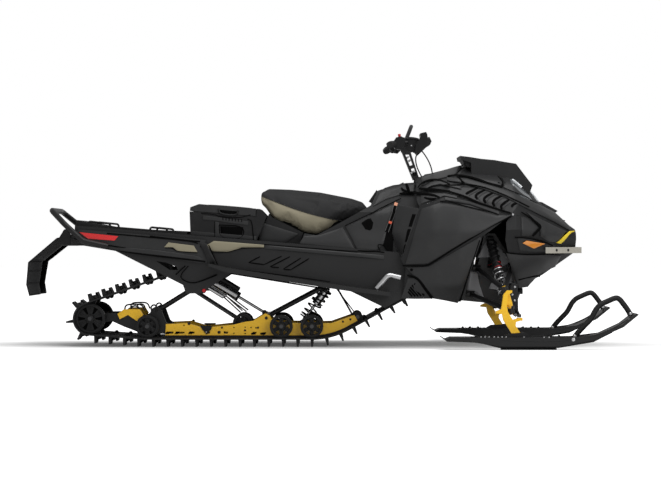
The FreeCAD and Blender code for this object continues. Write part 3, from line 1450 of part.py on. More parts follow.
ski_lateral = -(size.ski_stance / 2)
pin_lateral = ski_lateral + size.spindle_offset
kingpin_px = ((505.5, 290.0), (511.5, 312.0))
pin_top, pin_low = outline_at(kingpin_px, ski_lateral)
pin_head = point(pin_top[0], pin_lateral, pin_top[1])
pin_foot = point(pin_low[0], pin_lateral, pin_low[1])
pin_axis = (pin_head - pin_foot).normalize()
pin_length = (pin_head - pin_foot).Length


def on_pin(share):
    return pin_foot + (pin_head - pin_foot) * share


eye_half = float(size.spindle_boss_height) / 2
tube_start_share = 1.4
bush_length_share = 1.6
bush_radius_share = 1.25


def wishbone(eye_share, inner_px, inner_offset):
    """Two tubes from the frame to an eye on the kingpin, with inner bushes along the machine."""
    hub = on_pin(eye_share)
    eye = rod(hub - pin_axis * eye_half, hub + pin_axis * eye_half, size.spindle_boss_radius)
    parts = [eye]
    for u, v in inner_px:
        x, z = side(u, v, -inner_offset)
        inner = point(x, -inner_offset, z)
        run = (inner - hub).normalize()
        root = hub + run * float(size.kingpin_radius * tube_start_share)
        parts.append(rod(root, inner, size.wishbone_radius))
        bush = Vector(float(size.wishbone_radius * bush_length_share), 0, 0)
        parts.append(rod(inner - bush, inner + bush, size.wishbone_radius * bush_radius_share))
    arm = fused(parts)
    return arm.cut(rod(pin_foot - pin_axis * pin_length, pin_head + pin_axis * pin_length,
                       size.kingpin_radius + size.pin_gap))


inner_offset = plate_out + size.wishbone_radius * bush_radius_share + size.fit_gap
upper_px = ((476.5, 268.0), (511.5, 266.0))
lower_px = ((470.5, 294.0), (518.5, 291.0))
high_eye_share = 1.02
low_eye_share = 0.02
upper = wishbone(high_eye_share, upper_px, inner_offset)
lower = wishbone(low_eye_share, lower_px, inner_offset)
pair("wishbones", feature("wishbone", Part.makeCompound([upper, lower])))

front_shock_top_px = (490.5, 238.5)
front_shock_low_px = (505.5, 301.5)
shock_x, shock_z = side(*front_shock_top_px, -inner_offset)
low_lateral = -size.front_shock_reach
slim_body_share = 0.75
low_x, low_z = side(*front_shock_low_px, low_lateral)
top_eye = point(shock_x, -(inner_offset + size.shock_eye_radius), shock_z)
low_eye = point(low_x, low_lateral, low_z)


def coil_shock(top, bottom):
    """A coil-over shock between two eyes along the machine, its spring drawn as close rings."""
    step = (bottom - top).normalize()
    length = (bottom - top).Length
    eye = float(size.shock_eye_radius)
    half = Vector(float(size.shock_eye_width) / 2, 0, 0)
    parts = [rod(top - half, top + half, eye), rod(bottom - half, bottom + half, eye),
             rod(top, top + step * (length * shock_body_share), size.shock_body_radius * slim_body_share),
             rod(top, bottom, size.shock_rod_radius)]
    parts += coils(top + step * (eye * 2), bottom - step * (eye * 2), size.front_spring_radius)
    return fused(parts)


pair("front_shocks", feature("front_shock", coil_shock(top_eye, low_eye)))

spindle_px = ((506.8, 290.3), (511.8, 290.3), (511.8, 292.5), (507.8, 294.6), (506.6, 306.0), (507.7, 311.8),
              (512.5, 319.7), (520.4, 317.6), (521.6, 319.6), (519.0, 321.1), (515.8, 321.9), (515.4, 325.5),
              (522.2, 336.4), (514.0, 337.6), (503.2, 320.4), (501.8, 314.0), (495.3, 313.3), (495.3, 311.5),
              (501.0, 309.0), (503.2, 294.6))
ski_bolt_px = (518.1, 337.0)
leg = plate("spindle_leg", outline_at(spindle_px, ski_lateral), size.spindle_thickness, ski_lateral)
doc.recompute()
bolt_x, bolt_z = side(*ski_bolt_px, ski_lateral)
knuckle_share = 2.2
knuckle = size.ski_bolt_radius * knuckle_share
leg_half = size.spindle_thickness / 2
foot_near = point(bolt_x, ski_lateral - leg_half, bolt_z)
foot_far = point(bolt_x, ski_lateral + leg_half, bolt_z)
foot_end = rod(foot_near, foot_far, knuckle)
boss_shares = (0.24, 0.80)
web_shares = (0.34, 0.70)
pin_over_share = 1.2
boss = rod(on_pin(boss_shares[0]), on_pin(boss_shares[1]), size.spindle_boss_radius)
pin_over = pin_axis * (eye_half * pin_over_share)
kingpin = rod(on_pin(low_eye_share) - pin_over, on_pin(high_eye_share) + pin_over, size.kingpin_radius)
web_start = on_pin(web_shares[0])
web_height = (on_pin(web_shares[1]) - web_start).Length
web_box = Part.makeBox(float(size.spindle_thickness), float(size.spindle_offset), web_height)
web_box.translate(Vector(-float(size.spindle_thickness) / 2, -float(size.spindle_offset), 0))
web_box.Placement = Placement(web_start, Rotation(Vector(0, 0, 1), pin_axis)).multiply(web_box.Placement)
arm_px = (519.8, 319.4)
arm_x, arm_z = side(*arm_px, ski_lateral)
arm_low = arm_z - size.tie_lug_height / 2
arm_high = arm_z + size.tie_lug_height / 2
arm_lug = Part.makeBox(float(size.tie_lug_width), float(size.spindle_offset), float(size.tie_lug_height))
arm_lug.translate(point(arm_x - size.tie_lug_width / 2, ski_lateral, arm_low))
arm_eye = rod(point(arm_x, pin_lateral, arm_low), point(arm_x, pin_lateral, arm_high), size.tie_lug_width / 2)
spindle = fused([leg.Shape, foot_end, boss, kingpin, web_box, arm_lug, arm_eye])
bolt_near = point(bolt_x, ski_lateral - size.ski_width, bolt_z)
bolt_far = point(bolt_x, ski_lateral + size.ski_width, bolt_z)
spindle = spindle.cut(rod(bolt_near, bolt_far, size.ski_bolt_radius + size.pin_gap))
both_sides(feature("spindle", spindle), "spindle_right", "spindle_left")

rack_x, rack_z = steering_rack
ball_reach = rack_end + size.tie_rod_travel + size.tie_rod_boot_radius
rack_start = point(rack_x, -(size.frame_half_width - size.tie_rod_travel), rack_z)
rack_ball = point(rack_x, -ball_reach, rack_z)
ball_share = 0.7
tie_z = arm_high + size.tie_gap + size.tie_rod_radius
tie_end = point(arm_x, pin_lateral, tie_z)
tie = fused([rod(rack_start, rack_ball, size.tie_rod_radius), rod(rack_ball, tie_end, size.tie_rod_radius),
             Part.makeSphere(float(size.tie_rod_boot_radius * ball_share), rack_ball),
             rod(point(arm_x, pin_lateral, tie_z - size.tie_rod_radius),
                 point(arm_x, pin_lateral, tie_z + size.tie_rod_radius), size.tie_eye_radius)])
both_sides(feature("tie_rod", tie), "tie_rod_right", "tie_rod_left")


# Skis: a trough with side walls, a keel, the saddle round its bolt, the front loop and the steel runner

runner_top = size.runner_rod_radius * 2
ski_shell_px = ((440.3, 336.4), (445.3, 338.9), (450.0, 337.0), (572.0, 336.6), (600.0, 333.0),
                (620.5, 323.5), (634.3, 312.9), (636.4, 314.0), (621.2, 326.5), (593.0, 339.0),
                (558.0, 345.8), (499.0, 345.8), (473.0, 341.8), (446.0, 340.8))
ski = plate("ski_right", outline_at(ski_shell_px, ski_lateral), size.ski_width, ski_lateral)
trough_px = ((470.0, 325.0), (606.0, 325.0), (602.0, 331.5), (590.0, 335.6), (558.0, 341.5), (499.0, 341.5),
             (470.0, 339.3))
trough = draw_outline(sketch_on(ski, "XZ_Plane", -ski_lateral), outline_at(trough_px, ski_lateral))
pocket(ski, trough, size.ski_width - size.ski_deck * 2)
keel_px = ((612.0, 332.6), (593.0, 342.0), (557.7, 345.0), (499.0, 345.0), (474.0, 341.6), (474.0, 341.0),
           (499.0, 344.5), (558.0, 344.5), (593.0, 338.0), (612.0, 330.0))
keel_line = outline_at(keel_px, ski_lateral)
keel_line[2] = (keel_line[2][0], runner_top)
keel_line[3] = (keel_line[3][0], runner_top)
keel = plate("ski_keel", keel_line, size.ski_keel_width, ski_lateral)
saddle_px = ((496.0, 342.5), (500.0, 337.5), (507.0, 333.4), (514.0, 333.0), (524.0, 332.0), (533.0, 337.5),
             (538.0, 342.5))
rib_lateral = size.spindle_thickness / 2 + size.ski_side_gap + size.ski_rib_thickness / 2
saddle = outline_at(saddle_px, ski_lateral)
ribs = [plate("rib", saddle, size.ski_rib_thickness, ski_lateral + rib_lateral * sign) for sign in (-1, 1)]
doc.recompute()
bolt_half = rib_lateral + size.ski_rib_thickness
bolt = rod(point(bolt_x, ski_lateral - bolt_half, bolt_z), point(bolt_x, ski_lateral + bolt_half, bolt_z),
           size.ski_bolt_radius)
ski_whole = fused([ski.Shape, keel.Shape, bolt] + [rib.Shape for rib in ribs])
ski.Label = "ski_body"
both_sides(feature("ski", ski_whole), "ski_right", "ski_left")

loop_low_px = ((573.0, 337.2), (593.0, 307.0), (616.2, 295.8), (633.0, 313.0))
loop_points = [point(x, ski_lateral, z) for x, z in outline_at(loop_low_px, ski_lateral)]
loop_shape = bent_tube(loop_points, size.ski_loop_radius, size.ski_loop_bend)
both_sides(feature("ski_loop", loop_shape.cut(ski_whole)), "ski_loop_right", "ski_loop_left")

runner_px = (500.5, 556.5)
runner_ends = [point(side(u, horizon_px, ski_lateral)[0], ski_lateral, size.runner_rod_radius)
               for u in runner_px]
runner = rod(*runner_ends, size.runner_rod_radius)
both_sides(feature("ski_runner", runner), "ski_runner_right", "ski_runner_left")

# Front bumper: a flat bar bent round the nose, on two lugs

bumper_bar_px = (560.0, 250.0)
bumper_ends_px = (539.9, 579.1)
bar_rear, bar_front = [side(u, horizon_px)[0] for u in bumper_ends_px]
wide = size.bumper_rear_half_width
narrow = size.bumper_front_half_width
thin = size.bumper_bar_thickness
bar_middle = side(*bumper_bar_px)[1]
hull_front = side(station_px[-1][0], horizon_px)[0]
outer_line = [(bar_rear, -wide), (bar_front, -narrow), (bar_front, narrow), (bar_rear, wide)]
inner_line = [(bar_rear, wide - thin), (bar_front - thin, narrow - thin), (bar_front - thin, thin - narrow),
              (bar_rear, thin - wide)]
bumper_bar = new_body("bumper_bar")
pad(bumper_bar, draw_outline(sketch_on(bumper_bar, "XY_Plane", bar_middle), outer_line + inner_line),
    size.bumper_bar_height)
for sign in (-1, 1):
    near = size.bumper_lug_offset * sign - size.bumper_lug_width / 2
    away = near + size.bumper_lug_width
    lug_rear = hull_front + size.fit_gap
    lug_front = bar_front - thin / 2
    corners = [(lug_rear, near), (lug_front, near), (lug_front, away), (lug_rear, away)]
    lug = draw_outline(sketch_on(bumper_bar, "XY_Plane", bar_middle), corners)
    pad(bumper_bar, lug, size.bumper_bar_height)
bumper_bar.Label = "front_bumper"
finish(bumper_bar)


# Every object and every sub-part is tested, and then each sub-part is written

doc.recompute()
for thing in doc.Objects:
    if "Invalid" in thing.State or "Error" in thing.State:
        raise RuntimeError(f"{thing.Label} did not compute: {thing.State}")
for label, thing in finished.items():
    shape = Part.getShape(thing)
    if shape.isNull() or not shape.isValid() or not shape.Solids:
        raise RuntimeError(f"{label} has no valid shape")
os.makedirs("parts", exist_ok=True)
for label, thing in finished.items():
    Part.getShape(thing).exportStep(f"parts/{label}.step")
print(len(finished), "sub-parts")
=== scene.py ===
import json
import math
import bpy
import numpy as np
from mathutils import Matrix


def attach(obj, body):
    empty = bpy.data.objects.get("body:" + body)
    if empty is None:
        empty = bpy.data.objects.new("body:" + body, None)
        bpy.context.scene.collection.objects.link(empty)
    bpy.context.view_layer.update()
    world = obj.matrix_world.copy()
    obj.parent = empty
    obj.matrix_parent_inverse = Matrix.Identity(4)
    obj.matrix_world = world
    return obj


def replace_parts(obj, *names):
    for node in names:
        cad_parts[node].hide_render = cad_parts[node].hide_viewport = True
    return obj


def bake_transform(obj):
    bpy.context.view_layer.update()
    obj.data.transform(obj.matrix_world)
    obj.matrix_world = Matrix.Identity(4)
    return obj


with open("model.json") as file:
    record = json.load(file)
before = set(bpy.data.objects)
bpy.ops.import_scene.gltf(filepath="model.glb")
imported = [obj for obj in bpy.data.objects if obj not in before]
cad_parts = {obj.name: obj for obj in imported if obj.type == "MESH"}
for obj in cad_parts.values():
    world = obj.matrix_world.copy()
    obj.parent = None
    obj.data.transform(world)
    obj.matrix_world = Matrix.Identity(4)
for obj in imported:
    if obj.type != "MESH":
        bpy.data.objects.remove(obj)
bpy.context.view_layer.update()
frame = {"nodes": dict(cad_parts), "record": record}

scene = bpy.context.scene
nodes = frame["nodes"]
print("frame loaded:", len(nodes), "nodes")


# camera at the photo's angle: level, from the machine's right side

camera = dict(x=0.0194, y=-11.194, z=0.5649, focalPx=2074.0, frameWide=661.0, frameHigh=480.0, sensor=36.0, far=60)


def placeCamera(c):
    data = bpy.data.cameras.new("studioCamera")
    data.sensor_width = c["sensor"]
    data.lens = c["focalPx"] / c["frameWide"] * c["sensor"]
    data.clip_end = c["far"]
    eye = bpy.data.objects.new("studioCamera", data)
    eye.location = (c["x"], c["y"], c["z"])
    eye.rotation_euler = (math.radians(90), 0, 0)
    scene.collection.objects.link(eye)
    scene.camera = eye


placeCamera(camera)


def photoPoint(u, v, lateral):
    # the x and z, in metres, that a pixel of the photo shows in the plane y = lateral
    scale = (lateral - camera["y"]) / camera["focalPx"]
    x = camera["x"] + (np.asarray(u, float) - camera["frameWide"] / 2) * scale
    z = camera["z"] + (camera["frameHigh"] / 2 - np.asarray(v, float)) * scale
    return x, z


# shared effects: each is a node group that takes a place and a scale, and puts out heights and masks only

def newGroup(name, scale, outputs):
    tree = bpy.data.node_groups.new(name, "ShaderNodeTree")
    tree.interface.new_socket("Vector", in_out="INPUT", socket_type="NodeSocketVector")
    tree.interface.new_socket("Scale", in_out="INPUT", socket_type="NodeSocketFloat").default_value = scale
    for label in outputs:
        tree.interface.new_socket(label, in_out="OUTPUT", socket_type="NodeSocketFloat")
    return tree, tree.nodes.new("NodeGroupInput").outputs, tree.nodes.new("NodeGroupOutput").inputs


def setInput(tree, socket, value):
    # a plain value goes on the socket itself, and another node's output is linked to it
    if isinstance(value, (int, float, tuple)):
        socket.default_value = value
    else:
        tree.links.new(value, socket)


def addNode(tree, kind, result, inputs, **settings):
    node = tree.nodes.new("ShaderNode" + kind)
    for name, value in settings.items():
        setattr(node, name, value)
    for label, value in inputs.items():
        setInput(tree, node.inputs[label], value)
    return node.outputs[result]


def addMath(tree, operation, *values, clamp=False):
    node = tree.nodes.new("ShaderNodeMath")
    node.operation = operation
    node.use_clamp = clamp
    for socket, value in zip(node.inputs, values):
        setInput(tree, socket, value)
    return node.outputs[0]


def addNoise(tree, vector, scale, detail=3.0, rough=0.5):
    return addNode(tree, "TexNoise", "Fac", {"Vector": vector, "Scale": scale, "Detail": detail, "Roughness": rough})


def addCells(tree, enter, feature="F1"):
    return addNode(tree, "TexVoronoi", "Distance", {"Vector": enter["Vector"], "Scale": enter["Scale"]},
                   feature=feature)


def addStretch(tree, vector, scale):
    return addNode(tree, "Mapping", "Vector", {"Vector": vector, "Scale": scale})


def addRamp(tree, value, low, high):
    return addNode(tree, "MapRange", "Result", {"Value": value, "From Min": low, "From Max": high})


def makeGrainGroup():
    # moulded texture: a fine cell pattern, and a slow drift that varies the gloss
    tree, enter, leave = newGroup("mouldedGrain", 900.0, ("Height", "Drift"))
    tree.links.new(addCells(tree, enter), leave["Height"])
    tree.links.new(addNoise(tree, enter["Vector"], 5.0, 4.0), leave["Drift"])
    return tree


def makeScuffGroup():
    # fine scratches along the machine, and dust that gathers in soft patches
    tree, enter, leave = newGroup("scuffs", 60.0, ("Scratch", "Dust"))
    along = addStretch(tree, enter["Vector"], (0.15, 1.0, 1.6))
    lines = addNoise(tree, along, enter["Scale"], 6.0, 0.7)
    patches = addNoise(tree, enter["Vector"], 9.0, 5.0, 0.6)
    tree.links.new(addRamp(tree, lines, 0.64, 0.78), leave["Scratch"])
    tree.links.new(addRamp(tree, patches, 0.5, 0.85), leave["Dust"])
    return tree


def makeWeaveGroup():
    # over-and-under threads: the product of two crossed rows of sine waves, brought to 0..1
    tree, enter, leave = newGroup("weave", 700.0, ("Height",))
    split = tree.nodes.new("ShaderNodeSeparateXYZ")
    tree.links.new(enter["Vector"], split.inputs[0])
    along = addMath(tree, "ADD", split.outputs["X"], split.outputs["Y"])
    across = addMath(tree, "SUBTRACT", split.outputs["Z"], split.outputs["Y"])
    first, second = [addMath(tree, "SINE", addMath(tree, "MULTIPLY", way, enter["Scale"])) for way in (along, across)]
    height = addMath(tree, "MULTIPLY_ADD", addMath(tree, "MULTIPLY", first, second), 0.5, 0.5)
    tree.links.new(height, leave["Height"])
    return tree


def makeHideGroup():
    # vinyl grain: pebbles from a smooth cell pattern, broken by a finer noise
    tree, enter, leave = newGroup("hide", 420.0, ("Height", "Tone"))
    cells = addCells(tree, enter, "SMOOTH_F1")
    fine = addNoise(tree, enter["Vector"], 900.0, 2.0)
    tree.links.new(addMath(tree, "MULTIPLY_ADD", fine, 0.3, cells), leave["Height"])
    tree.links.new(addNoise(tree, enter["Vector"], 14.0), leave["Tone"])
    return tree


def makeBrushGroup():
    # drawn metal: noise pulled out into long lines
    tree, enter, leave = newGroup("drawnLines", 260.0, ("Height", "Tone"))
    pulled = addStretch(tree, enter["Vector"], (1.0, 0.04, 1.0))
    tree.links.new(addNoise(tree, pulled, enter["Scale"], 4.0, 0.6), leave["Height"])
    tree.links.new(addNoise(tree, enter["Vector"], 20.0), leave["Tone"])
    return tree


grainGroup, scuffGroup, weaveGroup = makeGrainGroup(), makeScuffGroup(), makeWeaveGroup()
hideGroup, brushGroup = makeHideGroup(), makeBrushGroup()


class Finish:
    # one material: a Principled shader with helpers that feed it from the shared groups

    def __init__(self, name, color, rough, metal=0.0, coat=0.0, coatRough=0.1, specular=0.5):
        self.material = bpy.data.materials.new(name)
        self.material.use_nodes = True
        self.tree = self.material.node_tree
        self.shader = self.tree.nodes["Principled BSDF"]
        self.color, self.rough = (*color, 1.0), rough
        self.material.diffuse_color = self.color
        for label, value in (("Base Color", self.color), ("Roughness", rough), ("Metallic", metal),
                             ("Coat Weight", coat), ("Coat Roughness", coatRough), ("Specular IOR Level", specular)):
            self.shader.inputs[label].default_value = value
        self.coords = self.tree.nodes.new("ShaderNodeTexCoord").outputs["Object"]

    def group(self, tree, scale):
        node = self.tree.nodes.new("ShaderNodeGroup")
        node.node_tree = tree
        self.tree.links.new(self.coords, node.inputs["Vector"])
        node.inputs["Scale"].default_value = scale
        return node.outputs

    def blendColor(self, mask, amount, other):
        share = addMath(self.tree, "MULTIPLY", mask, amount)
        mixed = addNode(self.tree, "Mix", "Result", {"Factor": share, "A": self.color, "B": (*other, 1.0)},
                        data_type="RGBA")
        self.tree.links.new(mixed, self.shader.inputs["Base Color"])

    def varyRough(self, mask, reach):
        node = addMath(self.tree, "MULTIPLY_ADD", mask, reach, self.rough - reach / 2, clamp=True)
        self.tree.links.new(node, self.shader.inputs["Roughness"])

    def bump(self, height, strength, distance):
        normal = addNode(self.tree, "Bump", "Normal", {"Strength": strength, "Distance": distance, "Height": height})
        self.tree.links.new(normal, self.shader.inputs["Normal"])
        return self.material


# how each kind of surface varies: its bump's strength and depth, its gloss, and the scales of its patterns
kinds = dict(
    plastic=dict(scuffScale=60.0, gloss=0.16, bump=0.35),
    paint=dict(specular=0.3, coatRough=0.2, scuffScale=90.0, grainScale=1500.0, gloss=0.18, bump=0.2, depth=0.00008),
    metal=dict(tone=0.35, darken=0.7, gloss=0.2, bump=0.25, depth=0.00005),
    rubber=dict(specular=0.35, scuffScale=40.0, gloss=0.2, bump=0.5, depth=0.0002),
    fabric=dict(sheen=0.25, threads=0.3, bump=0.6, depth=0.0003),
    vinyl=dict(specular=0.25, tone=0.4, lighten=1.5, gloss=0.16, bump=0.45, depth=0.0003),
    lens=dict(coatRough=0.03, ribScale=120.0, gloss=0.08, bump=0.2, depth=0.0004))


def plastic(name, color, rough, grain=900.0, depth=0.00012, dust=(0.12, 0.12, 0.117), dustAmount=0.1, coat=0.0,
            specular=0.27):
    k, finish = kinds["plastic"], Finish(name, color, rough, coat=coat, specular=specular)
    grainOut = finish.group(grainGroup, grain)
    finish.blendColor(finish.group(scuffGroup, k["scuffScale"])["Dust"], dustAmount, dust)
    finish.varyRough(grainOut["Drift"], k["gloss"])
    return finish.bump(grainOut["Height"], k["bump"], depth)


def painted(name, color, rough, wear=(0.3, 0.3, 0.3), wearAmount=0.25, coat=0.3):
    k = kinds["paint"]
    finish = Finish(name, color, rough, coat=coat, coatRough=k["coatRough"], specular=k["specular"])
    scuffOut = finish.group(scuffGroup, k["scuffScale"])
    finish.blendColor(scuffOut["Scratch"], wearAmount, wear)
    finish.varyRough(scuffOut["Dust"], k["gloss"])
    return finish.bump(finish.group(grainGroup, k["grainScale"])["Height"], k["bump"], k["depth"])


def metal(name, color, rough, scale=260.0):
    k, finish = kinds["metal"], Finish(name, color, rough, metal=1.0)
    lines = finish.group(brushGroup, scale)
    finish.blendColor(lines["Tone"], k["tone"], tuple(c * k["darken"] for c in color))
    finish.varyRough(lines["Height"], k["gloss"])
    return finish.bump(lines["Height"], k["bump"], k["depth"])


def rubber(name, color, rough, scale=500.0, dust=(0.1, 0.1, 0.097), dustAmount=0.2):
    k = kinds["rubber"]
    finish = Finish(name, color, rough, specular=k["specular"])
    grainOut = finish.group(grainGroup, scale)
    finish.blendColor(finish.group(scuffGroup, k["scuffScale"])["Dust"], dustAmount, dust)
    finish.varyRough(grainOut["Drift"], k["gloss"])
    return finish.bump(grainOut["Height"], k["bump"], k["depth"])


def fabric(name, color, rough, scale=1600.0, thread=(0.08, 0.08, 0.08)):
    k, finish = kinds["fabric"], Finish(name, color, rough)
    finish.shader.inputs["Sheen Weight"].default_value = k["sheen"]
    threads = finish.group(weaveGroup, scale)
    finish.blendColor(threads["Height"], k["threads"], thread)
    return finish.bump(threads["Height"], k["bump"], k["depth"])


def vinyl(name, color, rough, scale=420.0):
    k = kinds["vinyl"]
    finish = Finish(name, color, rough, specular=k["specular"])
    hide = finish.group(hideGroup, scale)
    finish.blendColor(hide["Tone"], k["tone"], tuple(c * k["lighten"] for c in color))
    finish.varyRough(hide["Tone"], k["gloss"])
    return finish.bump(hide["Height"], k["bump"], k["depth"])


def lens(name, color, rough):
    k = kinds["lens"]
    finish = Finish(name, color, rough, coat=1.0, coatRough=k["coatRough"])
    ribs = finish.group(brushGroup, k["ribScale"])
    finish.varyRough(ribs["Tone"], k["gloss"])
    return finish.bump(ribs["Height"], k["bump"], k["depth"])


# gap is the near black of painted shade in gaps, slots, recesses and hollows, also used for a few small black parts
look = dict(black=(0.010, 0.010, 0.0105), charcoal=(0.026, 0.0262, 0.0268), paint=(0.012, 0.012, 0.0125),
            gap=(0.003, 0.003, 0.003), tunnel=(0.017, 0.017, 0.0175), yellow=(0.95, 0.57, 0.025),
            silver=(0.66, 0.66, 0.67), steel=(0.09, 0.09, 0.093), khaki=(0.29, 0.262, 0.182),
            red=(0.78, 0.012, 0.014), orange=(0.86, 0.31, 0.045), lime=(0.88, 0.66, 0.04), bumper=(0.46, 0.44, 0.38))

finishes = {
    "belt_rubber": rubber("beltRubber", look["black"], 0.7),
    "wheel_plastic": plastic("wheelPlastic", look["black"], 0.5, 700.0),
    "axle_steel": metal("axleSteel", look["steel"], 0.35),
    "yellow_paint": painted("yellowPaint", look["yellow"], 0.38, (0.35, 0.2, 0.02), 0.3),
    "shoe_plastic": plastic("shoePlastic", look["black"], 0.45),
    "black_paint": painted("blackPaint", look["paint"], 0.45, (0.1, 0.1, 0.1), 0.1, 0.06),
    "shock_metal": metal("shockMetal", look["silver"], 0.25),
    "webbing": fabric("webbing", look["black"], 0.85),
    "tunnel_paint": painted("tunnelPaint", look["tunnel"], 0.5, (0.09, 0.09, 0.09), 0.12, 0.05),
    "silver_tube": metal("silverTube", look["silver"], 0.3),
    "charcoal_plastic": plastic("charcoalPlastic", look["charcoal"], 0.42, 1100.0, 0.0001, coat=0.06),
    "black_plastic": plastic("blackPlastic", look["black"], 0.55, 800.0),
    "red_lens": lens("redLens", look["red"], 0.12),
    "orange_lens": lens("orangeLens", look["orange"], 0.12),
    "flap_rubber": rubber("flapRubber", look["charcoal"], 0.5, 800.0),
    "seat_vinyl": vinyl("seatVinyl", (0.016, 0.016, 0.0165), 0.62),
    "lamp_glass": lens("lampGlass", (0.14, 0.15, 0.16), 0.06),
    "yellow_plastic": plastic("yellowPlastic", look["lime"], 0.35, 1500.0, 0.00005, dustAmount=0.05),
    "frame_paint": painted("framePaint", (0.018, 0.018, 0.0185), 0.45),
    "engine_metal": rubber("engineMetal", (0.05, 0.05, 0.053), 0.6, 300.0),
    "grip_rubber": rubber("gripRubber", look["black"], 0.8, 1200.0),
    "display_plastic": plastic("displayPlastic", (0.007, 0.007, 0.0075), 0.3, 1500.0, 0.00004, coat=0.12),
    "cable_rubber": rubber("cableRubber", look["black"], 0.55, 1200.0),
    "ski_plastic": plastic("skiPlastic", (0.015, 0.015, 0.0155), 0.4, 1300.0, 0.00006),
    "bumper_metal": painted("bumperMetal", look["bumper"], 0.35, (0.6, 0.6, 0.58), 0.4),
}
khakiPlastic = plastic("khakiPlastic", look["khaki"], 0.5, 1000.0)
khakiVinyl = vinyl("khakiVinyl", (0.3, 0.27, 0.192), 0.6)
# near black with almost no gloss: painted shade in the gaps between panels, in slots, recesses and hollows and behind
# parts, and also the own black of the latch strap, the screws and other small marks
blackAndShade = plastic("blackAndShade", look["gap"], 0.9, 700.0, dustAmount=0.01, specular=0.04)
# darker than the panels: painted shade for the gaps between them
paintedGapShade = plastic("paintedGapShade", (0.018, 0.0182, 0.0187), 0.5, 900.0, dustAmount=0.05, specular=0.2)
skiBlack = plastic("skiBlack", (0.008, 0.008, 0.0083), 0.45, 1300.0, 0.00006)
# a brighter copy of the yellow paint: painted light on the spindles and slide rails
litYellowPaint = painted("litYellowPaint", (1.0, 0.585, 0.025), 0.35, (0.9, 0.6, 0.1), 0.2)
charcoal, black, silverTube = (finishes[slot] for slot in ("charcoal_plastic", "black_plastic", "silver_tube"))
print("materials:", len(bpy.data.materials))

# the body's solids show only in the gaps between the panels laid over them, so they take a colour darker than the
# panels: painted shade in those gaps
covered = ("hood", "nose", "side_panel_right", "side_panel_left", "tank_cover", "windshield")
for entry in frame["record"]["subparts"]:
    node = nodes[entry["node"]]
    node.data.materials.clear()
    finish = paintedGapShade if entry["node"] in covered else finishes[entry["material_slot"]]
    # the spindles and slide rails take the brighter yellow, which paints in light
    node.data.materials.append(litYellowPaint if entry["node"].startswith(("spindle", "slide_rails")) else finish)


# studio: a pale floor that shows white to the camera and keeps a soft shadow

studio = dict(floorSize=60.0, floorTone=0.82, nearGlow=0.08, farGlow=0.9, reach=(1.6, 0.4), fade=(0.9, 1.7),
              worldTone=0.42, aim=(0.0, 0.0, 0.5), floorRough=0.9,
              # name, place, size and power of each soft light
              lights=(("topLight", (0.5, -1.5, 4.5), 4.0, 120.0), ("frontLight", (3.5, -5.0, 2.5), 3.0, 75.0)))


def buildStudio(s):
    data = bpy.data.meshes.new("studioFloor")
    half = s["floorSize"] / 2
    data.from_pydata([(-half, -half, 0), (half, -half, 0), (half, half, 0), (-half, half, 0)], [], [(0, 1, 2, 3)])
    floor = bpy.data.objects.new("studioFloor", data)
    scene.collection.objects.link(floor)
    material = bpy.data.materials.new("studioFloor")
    material.use_nodes = True
    tree = material.node_tree
    shader = tree.nodes["Principled BSDF"]
    shader.inputs["Base Color"].default_value = (s["floorTone"],) * 3 + (1.0,)
    shader.inputs["Roughness"].default_value = s["floorRough"]
    shader.inputs["Emission Color"].default_value = (1, 1, 1, 1)
    # the glow is low inside an ellipse under the machine, where its shadow lies, and rises outside it
    place = tree.nodes.new("ShaderNodeTexCoord").outputs["Object"]
    squeezed = addStretch(tree, place, (1 / s["reach"][0], 1 / s["reach"][1], 1.0))
    away = tree.nodes.new("ShaderNodeVectorMath")
    away.operation = "LENGTH"
    tree.links.new(squeezed, away.inputs[0])
    ring = addRamp(tree, away.outputs["Value"], *s["fade"])
    glow = addMath(tree, "MULTIPLY_ADD", ring, s["farGlow"] - s["nearGlow"], s["nearGlow"])
    path = tree.nodes.new("ShaderNodeLightPath")
    tree.links.new(addMath(tree, "MULTIPLY", path.outputs["Is Camera Ray"], glow), shader.inputs["Emission Strength"])
    data.materials.append(material)
    world = bpy.data.worlds.new("studioWorld")
    scene.world = world
    world.use_nodes = True
    tree = world.node_tree
    back = tree.nodes["Background"]
    path = tree.nodes.new("ShaderNodeLightPath")
    seen = addMath(tree, "MAXIMUM", path.outputs["Is Camera Ray"], path.outputs["Is Transmission Ray"])
    strength = addMath(tree, "MULTIPLY_ADD", seen, 1.0 - s["worldTone"], s["worldTone"])
    tree.links.new(strength, back.inputs["Strength"])
    back.inputs["Color"].default_value = (1, 1, 1, 1)
    for name, spot, size, power in s["lights"]:
        lamp = bpy.data.lights.new(name, "AREA")
        lamp.shape = "SQUARE"
        lamp.size = size
        lamp.energy = power
        holder = bpy.data.objects.new(name, lamp)
        holder.location = spot
        aim = np.array(s["aim"]) - np.array(spot)
        level = math.hypot(aim[0], aim[1])
        holder.rotation_euler = (math.atan2(level, -aim[2]), 0, math.atan2(aim[1], aim[0]) - math.pi / 2)
        scene.collection.objects.link(holder)
    scene.view_settings.view_transform = "Standard"


buildStudio(studio)
print("studio ready")


# numpy surfaces: grids of points, their faces, and the meshes that they make

def gridFaces(rows, cols, wrap=False):
    # each cell of a rows x cols grid is a quad of its four corner indices; wrap joins the last column to the first
    r = np.arange(rows - 1)[:, None]
    c = np.arange(cols if wrap else cols - 1)[None, :]
    nextC = (c + 1) % cols
    corners = (r * cols + c, (r + 1) * cols + c, (r + 1) * cols + nextC, r * cols + nextC)
    return np.stack([np.broadcast_to(k, (len(r), c.shape[1])).ravel() for k in corners], -1)


